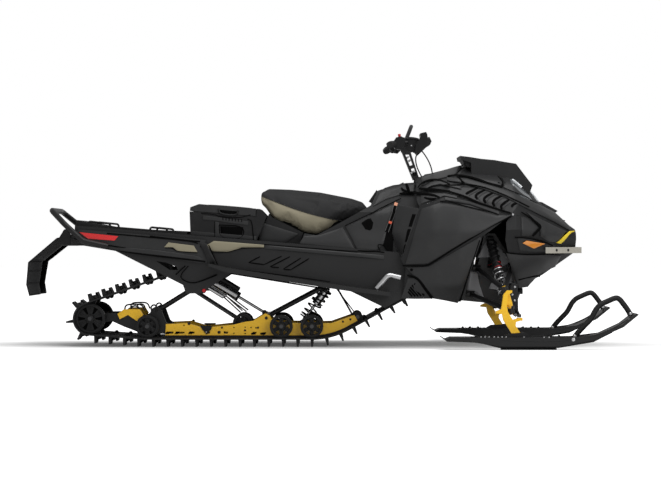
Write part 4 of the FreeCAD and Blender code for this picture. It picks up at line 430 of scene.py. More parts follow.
def tubeFaces(rows, sides):
    # a tube's wall, and at each end a fan to a pole; the two poles come after the wall's points
    k = np.arange(sides)
    nextK, last, count = (k + 1) % sides, (rows - 1) * sides, rows * sides
    start = np.stack([k, nextK, np.full(sides, count)], -1)
    end = np.stack([last + nextK, last + k, np.full(sides, count + 1)], -1)
    return [gridFaces(rows, sides, True)[:, ::-1], start, end]


def unit(v):
    return v / np.linalg.norm(v, axis=-1, keepdims=True)


def circle(sides, side, up):
    # cos a * side + sin a * up, for the two directions at each place
    angle = np.arange(sides) / sides * 2 * np.pi
    return np.cos(angle)[:, None] * side[..., None, :] + np.sin(angle)[:, None] * up[..., None, :]


def squareTo(axis):
    # two directions square to each axis, the first of them level unless the axis stands up
    helper = np.where(np.abs(axis[..., 2:]) < 0.8, (0.0, 0.0, 1.0), (1.0, 0.0, 0.0))
    side = unit(np.cross(axis, helper))
    return side, np.cross(axis, side)


def alongLine(points, share):
    # points at shares 0..1 of a polyline counted by corner, so that every corner is kept
    points = np.asarray(points, float)
    at = share * (len(points) - 1)
    return np.stack([np.interp(at, np.arange(len(points)), points[:, k]) for k in range(points.shape[1])], -1)


def roundOff(points, passes=3):
    # corner cutting: each inner corner becomes two points at a quarter and three quarters of its sides
    points = np.asarray(points, float)
    for _ in range(passes):
        near = 0.75 * points[:-1] + 0.25 * points[1:]
        far = 0.25 * points[:-1] + 0.75 * points[1:]
        inner = np.stack([near, far], 1).reshape(-1, points.shape[1])
        points = np.concatenate([points[:1], inner, points[-1:]])
    return points


def sweep(path, radius, sides=12, ref=(0, 1, 0)):
    # a circle carried along a path: path(i) + radius(i) * (cos a * side + sin a * up), its ends closed;
    # side is ref, or ref(i), with its part along the path taken out
    path, ref = np.asarray(path, float), np.asarray(ref, float)
    radius = np.atleast_1d(np.asarray(radius, float))
    radius = np.interp(np.linspace(0, 1, len(path)), np.linspace(0, 1, len(radius)), radius)
    tangent = unit(np.gradient(path, axis=0))
    side = unit(ref - (tangent * ref).sum(-1, keepdims=True) * tangent)
    ring = circle(sides, side, np.cross(tangent, side))
    points = (path[:, None] + ring * radius[:, None, None]).reshape(-1, 3)
    return np.concatenate([points, path[:1], path[-1:]]), tubeFaces(len(path), sides)


def lathe(profile, start, axis, sides=24):
    # a profile of (height along the axis, radius) turned about the axis from start; tiny radii close its ends
    profile = np.asarray(profile, float)
    axis = unit(np.asarray(axis, float))
    ring = circle(sides, *squareTo(axis))
    body = np.asarray(start, float) + profile[:, :1, None] * axis + profile[:, 1:, None] * ring[None]
    return body.reshape(-1, 3), [gridFaces(len(profile), sides, True)]


tip = 0.0001  # the radius that closes a turned shape
dome = np.array(((-0.5, 0.96), (0.55, 1.0), (1.0, 0.7), (1.0, 0.001)))  # a bolt head: shares of its height and radius


def studs(places, axes, radius, height, sides=10):
    # one low dome copied to every place and turned to its axis
    places = np.asarray(places, float).reshape(-1, 3)
    axes = unit(np.broadcast_to(np.asarray(axes, float), places.shape))
    profile = dome * (height, radius)
    body = (places[:, None, None] + profile[None, :, :1, None] * axes[:, None, None]
            + profile[None, :, 1:, None] * circle(sides, *squareTo(axes))[:, None])
    per = gridFaces(len(profile), sides, True)
    shift = np.arange(len(places))[:, None, None] * (len(profile) * sides)
    return body.reshape(-1, 3), [(per[None] + shift).reshape(-1, 4)]


def slab(outline, lateral, thickness):
    # a flat plate from a side-view outline of photo points: two faces and the band between them
    outline = np.asarray(outline, float)
    x, z = photoPoint(outline[:, 0], outline[:, 1], lateral)
    turn = np.sum(x * np.roll(z, -1) - np.roll(x, -1) * z)
    if turn < 0:
        x, z = x[::-1], z[::-1]
    n = len(x)
    near = np.stack([x, np.full(n, lateral - thickness / 2), z], -1)
    away = near + (0, thickness, 0)
    k = np.arange(n)
    band = np.stack([k, k + n, (k + 1) % n + n, (k + 1) % n], -1)
    return np.concatenate([near, away]), [k[None, :], (k + n)[None, ::-1], band]


def onSide(line, widthOf, guess=0.3, rounds=6):
    # photo points put on a side surface: x and z depend on the half-width there, which is found by repeating
    u, v = line[..., 0], line[..., 1]
    width = np.full(u.shape, guess)
    for _ in range(rounds):
        x, z = photoPoint(u, v, -width)
        width = widthOf(x, z)
    return x, z, width


def patch(low, high, widthOf, lift=0.004, crown=0.0, step=6, across=8):
    # a strip between two side-view lines: s runs along both, t climbs from low to high, and the point stands
    # lift off the side surface along its normal, plus a crown that is highest in the middle
    corners = max(len(low), len(high))
    s = np.linspace(0, 1, (corners - 1) * step + 1)
    t = np.linspace(0, 1, across + 1)
    line = alongLine(low, s)[:, None] * (1 - t)[None, :, None] + alongLine(high, s)[:, None] * t[None, :, None]
    x, z, width = onSide(line, widthOf)
    e = 0.004  # how far to each side the slope is read
    slopeX = (widthOf(x + e, z) - widthOf(x - e, z)) / (2 * e)
    slopeZ = (widthOf(x, z + e) - widthOf(x, z - e)) / (2 * e)
    normal = unit(np.stack([-slopeX, -np.ones_like(x), -slopeZ], -1))
    rise = lift + crown * (1 - (2 * t[None, :] - 1) ** 4) * (1 - (2 * s[:, None] - 1) ** 8)
    points = np.stack([x, -width, z], -1) + normal * rise[..., None]
    faces = gridFaces(len(s), len(t))
    flat = points.reshape(-1, 3)
    facing = np.cross(flat[faces[:, 1]] - flat[faces[:, 0]], flat[faces[:, 3]] - flat[faces[:, 0]])[:, 1].sum()
    return flat, [faces if facing < 0 else faces[:, ::-1]]


def ribbon(line, wide, widthOf, lift, passes=2):
    # a flat strip along a rounded side-view line: the line moved half the width, in photo pixels, to each side
    line = roundOff(line, passes)
    run = np.gradient(line, axis=0)
    across = unit(np.stack([-run[:, 1], run[:, 0]], -1))
    wide = np.interp(np.linspace(0, 1, len(line)), np.linspace(0, 1, np.size(wide)), np.atleast_1d(wide))[:, None]
    return patch(line + across * wide / 2, line - across * wide / 2, widthOf, lift, step=1, across=2)


def twoSided(part):
    # a right-hand part and its mirror image about the middle plane
    points, faces, *slot = part
    return [part, (points * (1, -1, 1), [f[:, ::-1] for f in faces], *slot)]


def bothSides(parts):
    return [twin for part in parts for twin in twoSided(part)]


edgeRules = dict(sharpAngle=35, bevelAngle=40, bevelSteps=2)


def addPiece(name, parts, finishes, body="chassis", solid=0.0, bevel=0.0):
    # parts: (points, face arrays), or (points, face arrays, number of its finish)
    points, faces, slots, base = [], [], [], 0
    for part in parts:
        points.append(part[0])
        for block in part[1]:
            faces += (block + base).tolist()
            slots += [part[2] if len(part) > 2 else 0] * len(block)
        base += len(part[0])
    data = bpy.data.meshes.new(name)
    data.from_pydata(np.concatenate(points).tolist(), [], faces)
    for finish in finishes:
        data.materials.append(finish)
    data.polygons.foreach_set("material_index", np.array(slots, dtype=np.int32))
    data.validate()
    data.shade_smooth()
    piece = bpy.data.objects.new(name, data)
    scene.collection.objects.link(piece)
    if solid:
        shell = piece.modifiers.new("thickness", "SOLIDIFY")
        shell.thickness = solid
        shell.offset = -1
    if bevel:
        edge = piece.modifiers.new("edges", "BEVEL")
        edge.width = bevel
        edge.segments = edgeRules["bevelSteps"]
        edge.limit_method = "ANGLE"
        edge.angle_limit = math.radians(edgeRules["bevelAngle"])
    data.set_sharp_from_angle(angle=math.radians(edgeRules["sharpAngle"]))
    if body:
        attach(piece, body)
    return piece


def addPair(name, parts, finish, body="chassis", **edges):
    # right-hand parts and their mirror images, as one piece of one finish
    return addPiece(name, bothSides(parts), [finish], body, **edges)


# how thick a laid-on panel is, and how its edges are rounded
skins = dict(thick=dict(solid=0.004, bevel=0.0012), firm=dict(solid=0.004, bevel=0.001),
             middle=dict(solid=0.003, bevel=0.001), thin=dict(solid=0.002, bevel=0.0008))
rounding = dict(fine=0.0008, thin=0.001, small=0.0015, plain=0.002, soft=0.003)


# side surfaces: half-widths of the body, the tank cover and the flat walls, as functions of x and z

hull = dict(rear=0.4, length=0.93, floor=0.232, height=0.74, half=0.4, soft=0.008, stations=(
    (-0.03, ((0.675, 0.049), (0.75, 0.132), (0.825, 0.443), (0.75, 0.66), (0.475, 0.835), (0, 0.893))),
    (0.172, ((0.738, 0.034), (0.875, 0.132), (0.988, 0.497), (0.863, 0.727), (0.575, 0.869), (0, 0.936))),
    (0.312, ((0.75, 0.011), (0.905, 0.132), (1.0, 0.497), (0.875, 0.741), (0.6, 0.882), (0, 0.981))),
    (0.634, ((0.575, 0.092), (0.725, 0.227), (0.925, 0.524), (0.825, 0.714), (0.55, 0.849), (0, 0.985))),
    (0.806, ((0.375, 0.201), (0.575, 0.295), (0.775, 0.497), (0.675, 0.619), (0.425, 0.693), (0, 0.723))),
    (1.0, ((0.15, 0.362), (0.225, 0.389), (0.325, 0.457), (0.3, 0.497), (0.2, 0.524), (0, 0.532)))))
stationX = np.array([hull["rear"] + hull["length"] * where for where, ring in hull["stations"]])
stationRings = np.array([ring for where, ring in hull["stations"]])
stationY = stationRings[:, :, 0] * hull["half"]
stationZ = hull["floor"] + stationRings[:, :, 1] * hull["height"]


def hullWidth(x, z):
    # stations are joined by straight lines along the machine, and the corners of each ring by straight lines
    x = np.clip(x, stationX[0], stationX[-1])
    k = np.clip(np.searchsorted(stationX, x) - 1, 0, len(stationX) - 2)
    t = ((x - stationX[k]) / (stationX[k + 1] - stationX[k]))[..., None]
    ringY = stationY[k] * (1 - t) + stationY[k + 1] * t
    ringZ = stationZ[k] * (1 - t) + stationZ[k + 1] * t
    z = np.clip(z, ringZ[..., 0], ringZ[..., -1])
    low = np.clip((z[..., None] > ringZ).sum(-1) - 1, 0, ringZ.shape[-1] - 2)[..., None]
    z0, z1 = np.take_along_axis(ringZ, low, -1)[..., 0], np.take_along_axis(ringZ, low + 1, -1)[..., 0]
    y0, y1 = np.take_along_axis(ringY, low, -1)[..., 0], np.take_along_axis(ringY, low + 1, -1)[..., 0]
    return y0 + (y1 - y0) * (z - z0) / (z1 - z0)


def softHull(x, z):
    # the same with its creases rounded: the mean of the half-width at nine places round the point
    e = hull["soft"]
    return sum(hullWidth(x + a * e, z + b * e) for a in (-1, 0, 1) for b in (-1, 0, 1)) / 9


tank = dict(floor=0.232, height=0.74, half=0.288,
            section=((0.2, 0.9), (0.43, 0.9), (0.52, 0.84), (0.65, 0.8), (0.8, 0.5), (0.9, 0.28), (1.2, 0.28)))


def tankWidth(x, z):
    # the section of the tank cover is the same all along it
    rise, half = np.array(tank["section"]).T
    return np.interp(z, tank["floor"] + rise * tank["height"], half * tank["half"])


def flatWall(half):
    return lambda x, z: np.full(np.shape(x), half)

tunnelWall, tailWall, boxWall, wedgeWall = flatWall(0.2713), flatWall(0.2876), flatWall(0.2142), flatWall(0.1682)


def sidePoints(points, widthOf, lift=0.0):
    # photo points laid on a side surface, standing off it towards the right
    x, z, width = onSide(np.asarray(points, float), widthOf)
    return np.stack([x, -width - lift, z], -1)


def sideLine(line, widthOf, lift=0.0):
    return sidePoints(roundOff(line, 2), widthOf, lift)


def bead(line, widthOf, radius, sides=8, lift=0.0):
    # a round rod along a rounded side-view line
    return sweep(sideLine(line, widthOf, lift), radius, sides)


def heads(points, widthOf, radius, height, sides=12, lift=0.0):
    # bolt heads on a side surface, facing outward
    return studs(sidePoints(points, widthOf, lift), (0, -1, 0), radius, height, sides)


def thinEnds(radius, start, end, count):
    # a stretch of a sine wave: the radii of a rod that is thin at both ends
    return radius * np.sin(np.linspace(start, end, count))


def ribbons(rows, widthOf, lift, passes=2):
    return [ribbon(line, wide, widthOf, lift, passes) for line, wide in rows]


def panel(p, widthOf, step=6, across=8):
    return patch(p["low"], p["high"], widthOf, p["lift"], p["crown"], step, across)


# body panels, laid over the hood, side panels and nose

bodyPanels = dict(
    hoodRear=dict(low=[(422.5, 186), (434, 180.5), (447, 177.6), (456, 174.4)],
                  high=[(421, 178.6), (440, 172.4), (455, 167.5), (464, 164.9)], lift=0.005, crown=0.002),
    hoodPlate=dict(low=[(458, 175.6), (466, 176.8), (475, 179.3), (484, 182), (492, 184.3), (500.5, 186.4)],
                   high=[(458.6, 174.2), (465, 168.6), (473, 164.6), (484, 168.4), (494, 173.4), (503, 183.4)],
                   lift=0.008, crown=0.004),
    hoodFront=dict(low=[(497, 173.6), (501, 178), (505.2, 183.6), (503.6, 187.8), (515, 192.6), (524, 196.6),
                        (536, 204)],
                   high=[(486, 166.6), (494, 169), (503, 173), (509, 177.5), (511, 184), (519, 192), (530, 201)],
                   lift=0.005, crown=0.001),
    ventBand=dict(low=[(447, 191.4), (463, 196.4), (478, 202), (490, 206), (501, 209.8), (512, 213)],
                  high=[(449, 187.8), (467, 186.8), (480, 188.8), (490, 191.8), (503.5, 197.2), (519, 204.6)],
                  lift=0.003, crown=0.0),
    ridge=dict(low=[(447, 181.2), (466, 184.6), (484, 190.2), (503, 197), (520, 205.4), (538, 214.6), (553, 222),
                    (569, 231)],
               high=[(447, 178.6), (466, 179.2), (484, 184.2), (503, 189.6), (520, 197), (538, 205.4), (554, 213),
                     (571, 229)], lift=0.007, crown=0.006),
    intakeBrow=dict(low=[(424.5, 190.6), (432, 187), (440, 185.4), (449, 187.4), (461, 190)],
                    high=[(423.5, 188.2), (431, 183.4), (440, 181.9), (449, 184), (461, 187)],
                    lift=0.009, crown=0.003),
    intakeLip=dict(low=[(421.5, 204), (432, 200.5), (444, 196.4), (457, 198.8)],
                   high=[(421, 193.2), (432, 193.4), (444, 193.6), (457, 196.4)], lift=0.005, crown=0.002),
    noseSide=dict(low=[(541.4, 228), (540, 236), (548, 241), (557, 242.4)],
                  high=[(526, 212.2), (540, 219.4), (553, 225.8), (565.6, 231.6)], lift=0.006, crown=0.003),
    noseCheek=dict(low=[(521.6, 236), (526, 235.8), (532, 235)],
                   high=[(521, 216.6), (527, 217.2), (539, 227.4)], lift=0.004, crown=0.001),
    sideStrip=dict(low=[(445, 200.4), (470, 204.6), (499, 214.6)], high=[(445, 197.8), (470, 202), (499, 211.4)],
                   lift=0.007, crown=0.001),
    sideMain=dict(low=[(405.6, 264.2), (428, 263.2), (455, 247.6), (483, 231.6), (510.4, 216.2)],
                  high=[(422, 209), (444, 201.8), (470, 206), (498, 215.4), (510.6, 215.4)],
                  lift=0.006, crown=0.006),
    sideLow=dict(low=[(432.6, 298), (446, 300.4), (457.6, 303), (463, 291), (481.4, 238.6)],
                 high=[(406.4, 267.4), (416, 267.2), (429, 266.4), (455, 251.4), (480, 236.8)],
                 lift=0.005, crown=0.004),
    noseBand=dict(low=[(519.6, 250.2), (530, 251.4), (545, 251.2), (558, 250.2)],
                  high=[(517, 237.4), (530, 238.3), (545, 244.3), (558, 245.6)], lift=0.003, crown=0.001),
    noseLow=dict(low=[(518.6, 288), (527.2, 287), (538.6, 273.4), (554.6, 266.4)],
                 high=[(505.6, 252.2), (523, 254.2), (545, 253.8), (560.4, 255.4)], lift=0.005, crown=0.006),
)
addPair("bodyPanels", [panel(p, softHull, 8, 12) for p in bodyPanels.values()], charcoal, **skins["thick"])

# the curved band behind the side panel: from the tank cover's side out to the body's
shield = dict(low=[(401.4, 258), (396.4, 249), (391.8, 233), (394, 218), (397.6, 204.2)],
              high=[(402.6, 255), (406.4, 244), (411, 232), (415.4, 219.4), (419.4, 208.6)], steps=10, across=12,
              inner=0.262, bulge=0.012, lift=0.004, slots=((0.61, 0.86), (0.31, 0.56), (0.04, 0.25)),
              slotWide=(0.78, 0.93), slotLift=0.003, slotDeep=0.002)


def shieldPart(p, sRange=(0.0, 1.0), tRange=(0.0, 1.0), lift=0.0):
    # the half-width goes from the tank's to the body's as t goes from 0 to 1, bulged by a half sine
    s = np.linspace(*sRange, (len(p["low"]) - 1) * p["steps"] + 1)
    t = np.linspace(*tRange, p["across"] + 1)
    low, high = alongLine(p["low"], s)[:, None], alongLine(p["high"], s)[:, None]
    line = low * (1 - t)[None, :, None] + high * t[None, :, None]
    outer = onSide(line, softHull)[2] + p["lift"]
    width = p["inner"] * (1 - t) + outer * t + p["bulge"] * np.sin(t * np.pi) + lift
    x, z = photoPoint(line[..., 0], line[..., 1], -width)
    return np.stack([x, -width, z], -1).reshape(-1, 3), [gridFaces(len(s), len(t))[:, ::-1]]


addPair("sideShields", [shieldPart(shield)], charcoal, **skins["thick"])
# the slots are black strips of painted shade
addPair("shieldSlotShades", [shieldPart(shield, run, shield["slotWide"], shield["slotLift"]) for run in shield["slots"]],
        blackAndShade, solid=shield["slotDeep"])

# painted shade: dark strips in the gaps between the panels and under the brow; each line has its photo points, its
# width in pixels and its height off the body
bodyShadeLines = [
    ([(447.7, 177.4), (456.8, 176.4), (466, 177.6), (476.7, 180.4), (485.9, 183.8), (498.1, 188), (501.8, 188.2)],
     (0.8, 1.8, 1.6), 0.0105),
    ([(476.7, 165.4), (485.1, 168.3), (493.6, 172.5), (497.4, 177.4), (503.4, 184.6), (501.8, 188.2)], (0.7, 1.2),
     0.0105),
    ([(457.6, 178.4), (460.4, 181.6), (464.5, 184.6)], (1.8, 0.6), 0.0135),
    ([(419.4, 190), (428, 190.6), (438.6, 191.7), (450, 192.9)], (1.4, 2.6, 1.6), 0.0125),
    ([(418.4, 189.2), (421, 185.4), (428, 182.2), (435.8, 181.3), (444.2, 183), (450, 186.2)], (0.8, 1.2, 1.2), 0.0135),
    ([(413.6, 193.9), (419.6, 194.3), (432.3, 195.7), (439.6, 198.4)], (2.4, 2.4, 1.0), 0.0105),
    ([(424.6, 198.6), (430.5, 200.2), (436.5, 199.4)], (0.8, 1.9, 0.6), 0.0105),
    ([(444.6, 186.6), (455, 187), (466.8, 185.8), (479.8, 188), (489.7, 191), (503.5, 196.4), (513.4, 201),
      (528, 208.4)], (0.7, 1.0, 0.7), 0.0145),
    ([(440, 191.8), (447.7, 192.4), (455.3, 194.8), (463.7, 197.5), (478.3, 203.3), (489.7, 207.1), (501.2, 210.9),
      (510.6, 213.6)], (1.2, 1.8, 1.4), 0.0115),
    ([(440, 202.1), (451.5, 202.9), (466.8, 207.1), (498.1, 214.7)], (0.8, 1.0, 0.6), 0.0125),
    ([(403, 265.6), (415, 265.7), (425.3, 265.6), (430.6, 264), (443.5, 255.2), (470, 238.4), (490, 226.6),
      (511, 216.6)], (1.1, 1.6, 1.7), 0.0085),
    ([(479.4, 240), (472, 262), (463.6, 288), (459.4, 301)], (0.9, 1.2), 0.0085),
    ([(407.7, 275.2), (414.5, 276.6), (418.6, 279), (424.4, 286.4), (432.6, 297.6)], (1.4, 2.3, 2.5), 0.0105),
    ([(520.3, 212.6), (528.8, 218), (535.6, 223.3), (540.6, 227.9), (535.4, 232), (531.8, 235.4)], (0.7, 2.2, 1.6),
     0.0125),
    ([(514.6, 237.2), (526.6, 237.4), (544, 241.2), (551.8, 245.2)], (1.0, 1.1), 0.0085),
    ([(502.4, 251.7), (515, 253.5), (530.4, 254.4), (562.4, 252.9)], (1.0, 1.1), 0.0085),
    ([(517.6, 279), (526, 276.6), (534.3, 274.8), (538.8, 275.4)], (1.0, 1.4), 0.0115),
    ([(480, 161.8), (497, 165.6), (513, 172.2), (523.6, 180)], (1.2, 1.8), 0.0085)]
gapDeep = dict(body=0.003, tank=0.002)
addPair("bodyShadeLines", [ribbon(line, wide, softHull, lift) for line, wide, lift in bodyShadeLines], blackAndShade,
        solid=gapDeep["body"])

# the side vents: dark chevrons of painted shade in the openings, with a body-coloured rib along each, and the louvres
# of the lower grille, whose dark lines paint the shade between them
vents = dict(arms=[((479.2, 187.6), (466.8, 193.5), (466.4, 195)), ((487, 189.2), (474.4, 195.6), (477.6, 199.8)),
                   ((495.6, 191.8), (482.8, 198.5), (485.8, 203.4)), ((503.8, 195.2), (492, 201.2), (494.4, 206.8)),
                   ((511.2, 199), (500.4, 205.4), (501.8, 209.6)), ((517, 203.2), (511.6, 205.4), (512.6, 207.4))],
             wide=(0.8, 2.3, 2.6, 1.4), lift=0.0045, deep=0.002, ribShift=(2.6, 1.5), ribRadius=0.006, ribCount=5,
             ribTaper=(0.4, 2.8, 17), ribLift=0.001,
             louvres=[((414.7, 283.2), (424.4, 295)), ((412.3, 284.8), (421.3, 295.4)),
                      ((410.5, 286.6), (418.3, 295.6)), ((409.2, 288.6), (415.4, 295.7)),
                      ((408.3, 291), (412.3, 295.8))], louvreWide=1.7, louvreLift=0.0072, louvreDeep=0.001,
             frameLow=[(400.8, 298.6), (416, 298.8), (431.6, 298.4)],
             frameHigh=[(408.2, 277.6), (413.6, 277.8), (418.4, 280.2)], frameLift=0.006)
v = vents
ribRadius = thinEnds(v["ribRadius"], *v["ribTaper"])
ribLines = [np.array(line) + v["ribShift"] for line in v["arms"][:v["ribCount"]]]
addPair("ventShades", ribbons([(line, v["wide"]) for line in v["arms"]], softHull, v["lift"]), blackAndShade,
        solid=v["deep"])
addPair("ventFins", [bead(line, softHull, ribRadius, lift=v["ribLift"]) for line in ribLines], charcoal)
addPair("lowerGrille", [patch(v["frameLow"], v["frameHigh"], softHull, v["frameLift"], step=8)], charcoal,
        **skins["firm"])
addPair("louvreShades", ribbons([(line, v["louvreWide"]) for line in v["louvres"]], softHull, v["louvreLift"], 0),
        blackAndShade, solid=v["louvreDeep"])

# a black sheet that paints the shade inside the front arch, the small tongue beside it, and the teeth along the top of
# the nose
inside = dict(wall=[(480.6, 245), (487, 231), (499, 222), (512.4, 216), (520.3, 218.2), (522.6, 221.6), (520.6, 226),
                    (522, 243)], wallSide=0.1, wallThick=0.003,
              tongue=[(508.1, 225.8), (517.3, 223.9), (520.4, 235.6), (513.4, 236)], tongueSide=0.11, tongueThick=0.006,
              teeth=([(536, 201.2), (541.8, 202.2), (557.6, 211), (552.6, 214.4), (540, 208)],
                     [(552, 213.2), (561.7, 219.4), (565.4, 220.6), (558, 225), (550, 219)]), toothSide=0.03,
              toothThick=0.03)
addPair("archShades", [slab(inside["wall"], -inside["wallSide"], inside["wallThick"])], blackAndShade)
addPair("archTongues", [slab(inside["tongue"], -inside["tongueSide"], inside["tongueThick"])], charcoal,
        bevel=rounding["thin"])
addPair("noseTeeth", [slab(tooth, -inside["toothSide"], inside["toothThick"]) for tooth in inside["teeth"]], charcoal,
        bevel=rounding["plain"])

# the amber side reflectors and the yellow stripes stand on the nose
marks = dict(reflector=dict(low=[(522.2, 242.7), (533, 247.9), (543.8, 243.2)],
                            high=[(522.2, 242.3), (526.3, 240), (543.8, 242.8)], lift=0.0105, crown=0.001,
                            deep=0.006),
             stripe=dict(low=[(559.3, 242.8), (569.7, 233.2), (573, 232.4)],
                         high=[(555.6, 242.2), (567.6, 231.8), (573, 231.9)], lift=0.0125, crown=0.001, deep=0.008))
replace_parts(addPair("sideReflectors", [panel(marks["reflector"], softHull)], finishes["orange_lens"],
                    solid=marks["reflector"]["deep"], bevel=rounding["fine"]), "side_reflectors")
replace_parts(addPair("noseStripes", [panel(marks["stripe"], softHull)], finishes["yellow_plastic"],
                    solid=marks["stripe"]["deep"], bevel=rounding["fine"]), "nose_accents")

screws = dict(dark=[(498.5, 183.6), (462, 182), (411.3, 269.8), (459.9, 195.2)], darkRadius=0.0075, darkLift=0.011,
              bright=[(512.7, 214.7)], brightRadius=0.006, brightLift=0.008, height=0.005)
addPair("bodyScrews", [heads(screws["dark"], softHull, screws["darkRadius"], screws["height"],
                             lift=screws["darkLift"])], blackAndShade)
addPair("archScrews", [heads(screws["bright"], softHull, screws["brightRadius"], screws["height"],
                             lift=screws["brightLift"])], silverTube)

# headlights: bright strips on the lens that paint its highlights, the dark brow over them, and the block under the
# visor's foot
lamps = dict(strips=[((512.4, 179.8), (517, 183), (521.6, 187.4)), ((519.8, 180.6), (524.8, 186), (529.4, 191.6)),
                     ((527.6, 188.6), (532.2, 194), (537.6, 201.4))], radius=0.0065, stripLift=0.002,
             low=[(509.6, 173.6), (516.6, 178.4), (525.6, 186.8)],
             high=[(511.6, 166), (520.2, 172.8), (528.2, 184.6)], lift=0.006, crown=0.002,
             foot=[(460.4, 160.2), (462.4, 163.4), (465, 168), (471, 169.4), (478, 167), (478, 161)], footWide=0.27)
# a pale glossy finish for the painted highlights on the headlight
lampHighlight = lens("lampHighlight", (0.75, 0.78, 0.8), 0.08)
addPair("lampHighlightStrips", [bead(line, softHull, lamps["radius"], 10, lamps["stripLift"]) for line in lamps["strips"]],
        lampHighlight)
addPair("lampBrows", [panel(lamps, softHull)], black, **skins["firm"])
addPiece("visorFoot", [slab(lamps["foot"], 0.0, lamps["footWide"])], [black], bevel=rounding["soft"])
print("body dressed")


# tank cover: knee panels, lower panels, the recess, and the strap with its red ends; the recess, the band beside the
# shield and the gap lines are black patches of painted shade

tankPanels = dict(
    knee=dict(low=[(357.6, 250.2), (367, 250.8), (376, 250.6), (384, 243.4)],
              high=[(345, 225.8), (362, 217.6), (380.6, 209.4), (396.6, 202)], lift=0.006, crown=0.005),
    lower=dict(low=[(299.4, 243.6), (327, 247.2), (355.6, 250.6)], high=[(304, 236), (319, 235.4), (342.6, 227.4)],
               lift=0.004, crown=0.002),
    console=dict(low=[(373, 206.6), (386, 199.6), (402, 194.6), (414.6, 194)],
                 high=[(379.6, 193), (386, 190), (402.6, 185.4), (415, 184.6)], lift=0.004, crown=0.003))
addPair("tankPanels", [panel(p, tankWidth, 8, 10) for p in tankPanels.values()], charcoal, **skins["thick"])
# black patches of painted shade: in the recess, and in the band between the tank cover and the shield
tankShade = dict(
    recess=dict(low=[(361.6, 223.6), (365.3, 229.4), (369.8, 231), (372, 228.9), (373.2, 223.4)],
                high=[(361.6, 223), (364.4, 221.2), (367, 219.5), (370.5, 218.6), (373.2, 223)], lift=0.0125,
                crown=0.0),
    shade=dict(low=[(404.9, 273.6), (399.3, 267.2), (393, 258.2), (383.2, 246), (386.4, 232.7), (392.2, 222),
                    (397, 208)],
               high=[(405.2, 272), (399.6, 264.2), (392.6, 251.7), (393.4, 236.2), (396, 225), (397, 212),
                     (397.6, 206.4)], lift=0.0105, crown=0.0))
addPair("tankShadePatches", [panel(p, tankWidth, 6, 6) for p in tankShade.values()], blackAndShade, solid=gapDeep["tank"])
# dark lines of painted shade along the tank cover's gaps
tankShadeLines = [([(406, 184.8), (407.4, 188), (408.4, 191.6), (409.4, 194.6)], (1.8, 2.8, 2.2)),
             ([(401, 189.2), (403.6, 191.6), (407.4, 192.8)], (0.8, 2.0, 1.6)),
             ([(399.3, 194.8), (409.1, 193.8), (414.6, 194)], (0.8, 2.4, 2.4)),
             ([(357.6, 250.8), (367, 251.4), (376.6, 251.2), (384.4, 252.6)], (1.4, 1.9, 1.0)),
             ([(345, 226.2), (362, 217.9), (380.6, 209.7), (397, 201.6), (401, 199.8)], (0.7, 0.9, 0.7)),
             ([(380, 250.8), (377, 244), (384, 245.4)], (0.8, 0.8))]
addPair("tankGapShades", ribbons(tankShadeLines, tankWidth, tankShade["recess"]["lift"]), blackAndShade, solid=gapDeep["tank"])
strap = dict(line=[(396.2, 205.6), (394, 212), (391, 220.6), (388.4, 227), (386.6, 232.4)], wide=3.8, lift=0.0165,
             deep=0.006, rimWide=0.7, rimShift=(1.6, 0.6), rimLift=0.018, rimDeep=0.002,
             bands=([(396.3, 204.8), (395.3, 207.7)], [(390.7, 221.8), (389.7, 224.1)]), bandWide=3.3, bandLift=0.0195,
             bandDeep=0.003, fin=[(368.6, 201.6), (376.6, 189.8), (378.4, 192.6), (380, 192.2), (384.4, 188),
                                  (393, 185.2), (399, 184.4), (403.4, 182.2), (404, 184.4), (398, 188), (384, 193.4),
                                  (372, 203.6)], finSide=0.05, finThick=0.012)
addPair("latchStrips", ribbons([(strap["line"], strap["wide"])], tankWidth, strap["lift"]), blackAndShade,
        solid=strap["deep"], bevel=rounding["small"])
# the lighter lines along both edges of the strap are painted highlights on its rounded edges
rims = [(roundOff(strap["line"]) + np.array(strap["rimShift"]) * side, strap["rimWide"]) for side in (-1, 1)]
addPair("latchRimHighlights", ribbons(rims, tankWidth, strap["rimLift"], 0), plastic("strapEdgeHighlight", (0.08, 0.08, 0.08), 0.5),
        solid=strap["rimDeep"])
bandFinishes = [plastic("latchPink", (0.75, 0.33, 0.2), 0.4), plastic("latchRed", (0.62, 0.1, 0.05), 0.4)]
for word, line, finish in zip(("Top", "Middle"), strap["bands"], bandFinishes):
    addPair(f"latchEnds{word}", ribbons([(line, strap["bandWide"])], tankWidth, strap["bandLift"], 0), finish,
            solid=strap["bandDeep"], bevel=rounding["fine"])
addPiece("consoleFin", [slab(strap["fin"], side * strap["finSide"], strap["finThick"]) for side in (-1, 1)],
         [charcoal], bevel=rounding["plain"])
print("tank dressed")


# seat: a superellipse carried along the machine, swollen by a cloth simulation, with piped seams

seat = dict(top=[(260, 190.4), (290, 191.4), (319.7, 194.2), (351.6, 200.4), (369.4, 206.2)],
            low=[(260, 200.9), (267, 206.6), (273.4, 217.6), (303.8, 231.8), (316.6, 234), (342, 222),
                 (369.8, 209.6)],
            seam=[(260.9, 195.8), (281.5, 204.2), (303.8, 212.2), (324, 217.6), (344, 221.2)],
            lateral=-0.172, inset=0.002, sink=0.005, ends=45, power=5.0, across=0.162, nose=0.104, waist=0.0,
            endWide=(0.9, 0.1), endTall=(0.6, 0.4), leastEnd=0.02, leastTall=0.004, voxel=0.006, pressure=4.0,
            quality=5, cap=0.014, frames=20, fill=0.9, pipeRadius=0.0022, pipeLift=0.0005, pipeReach=0.008,
            leastHalf=0.05)


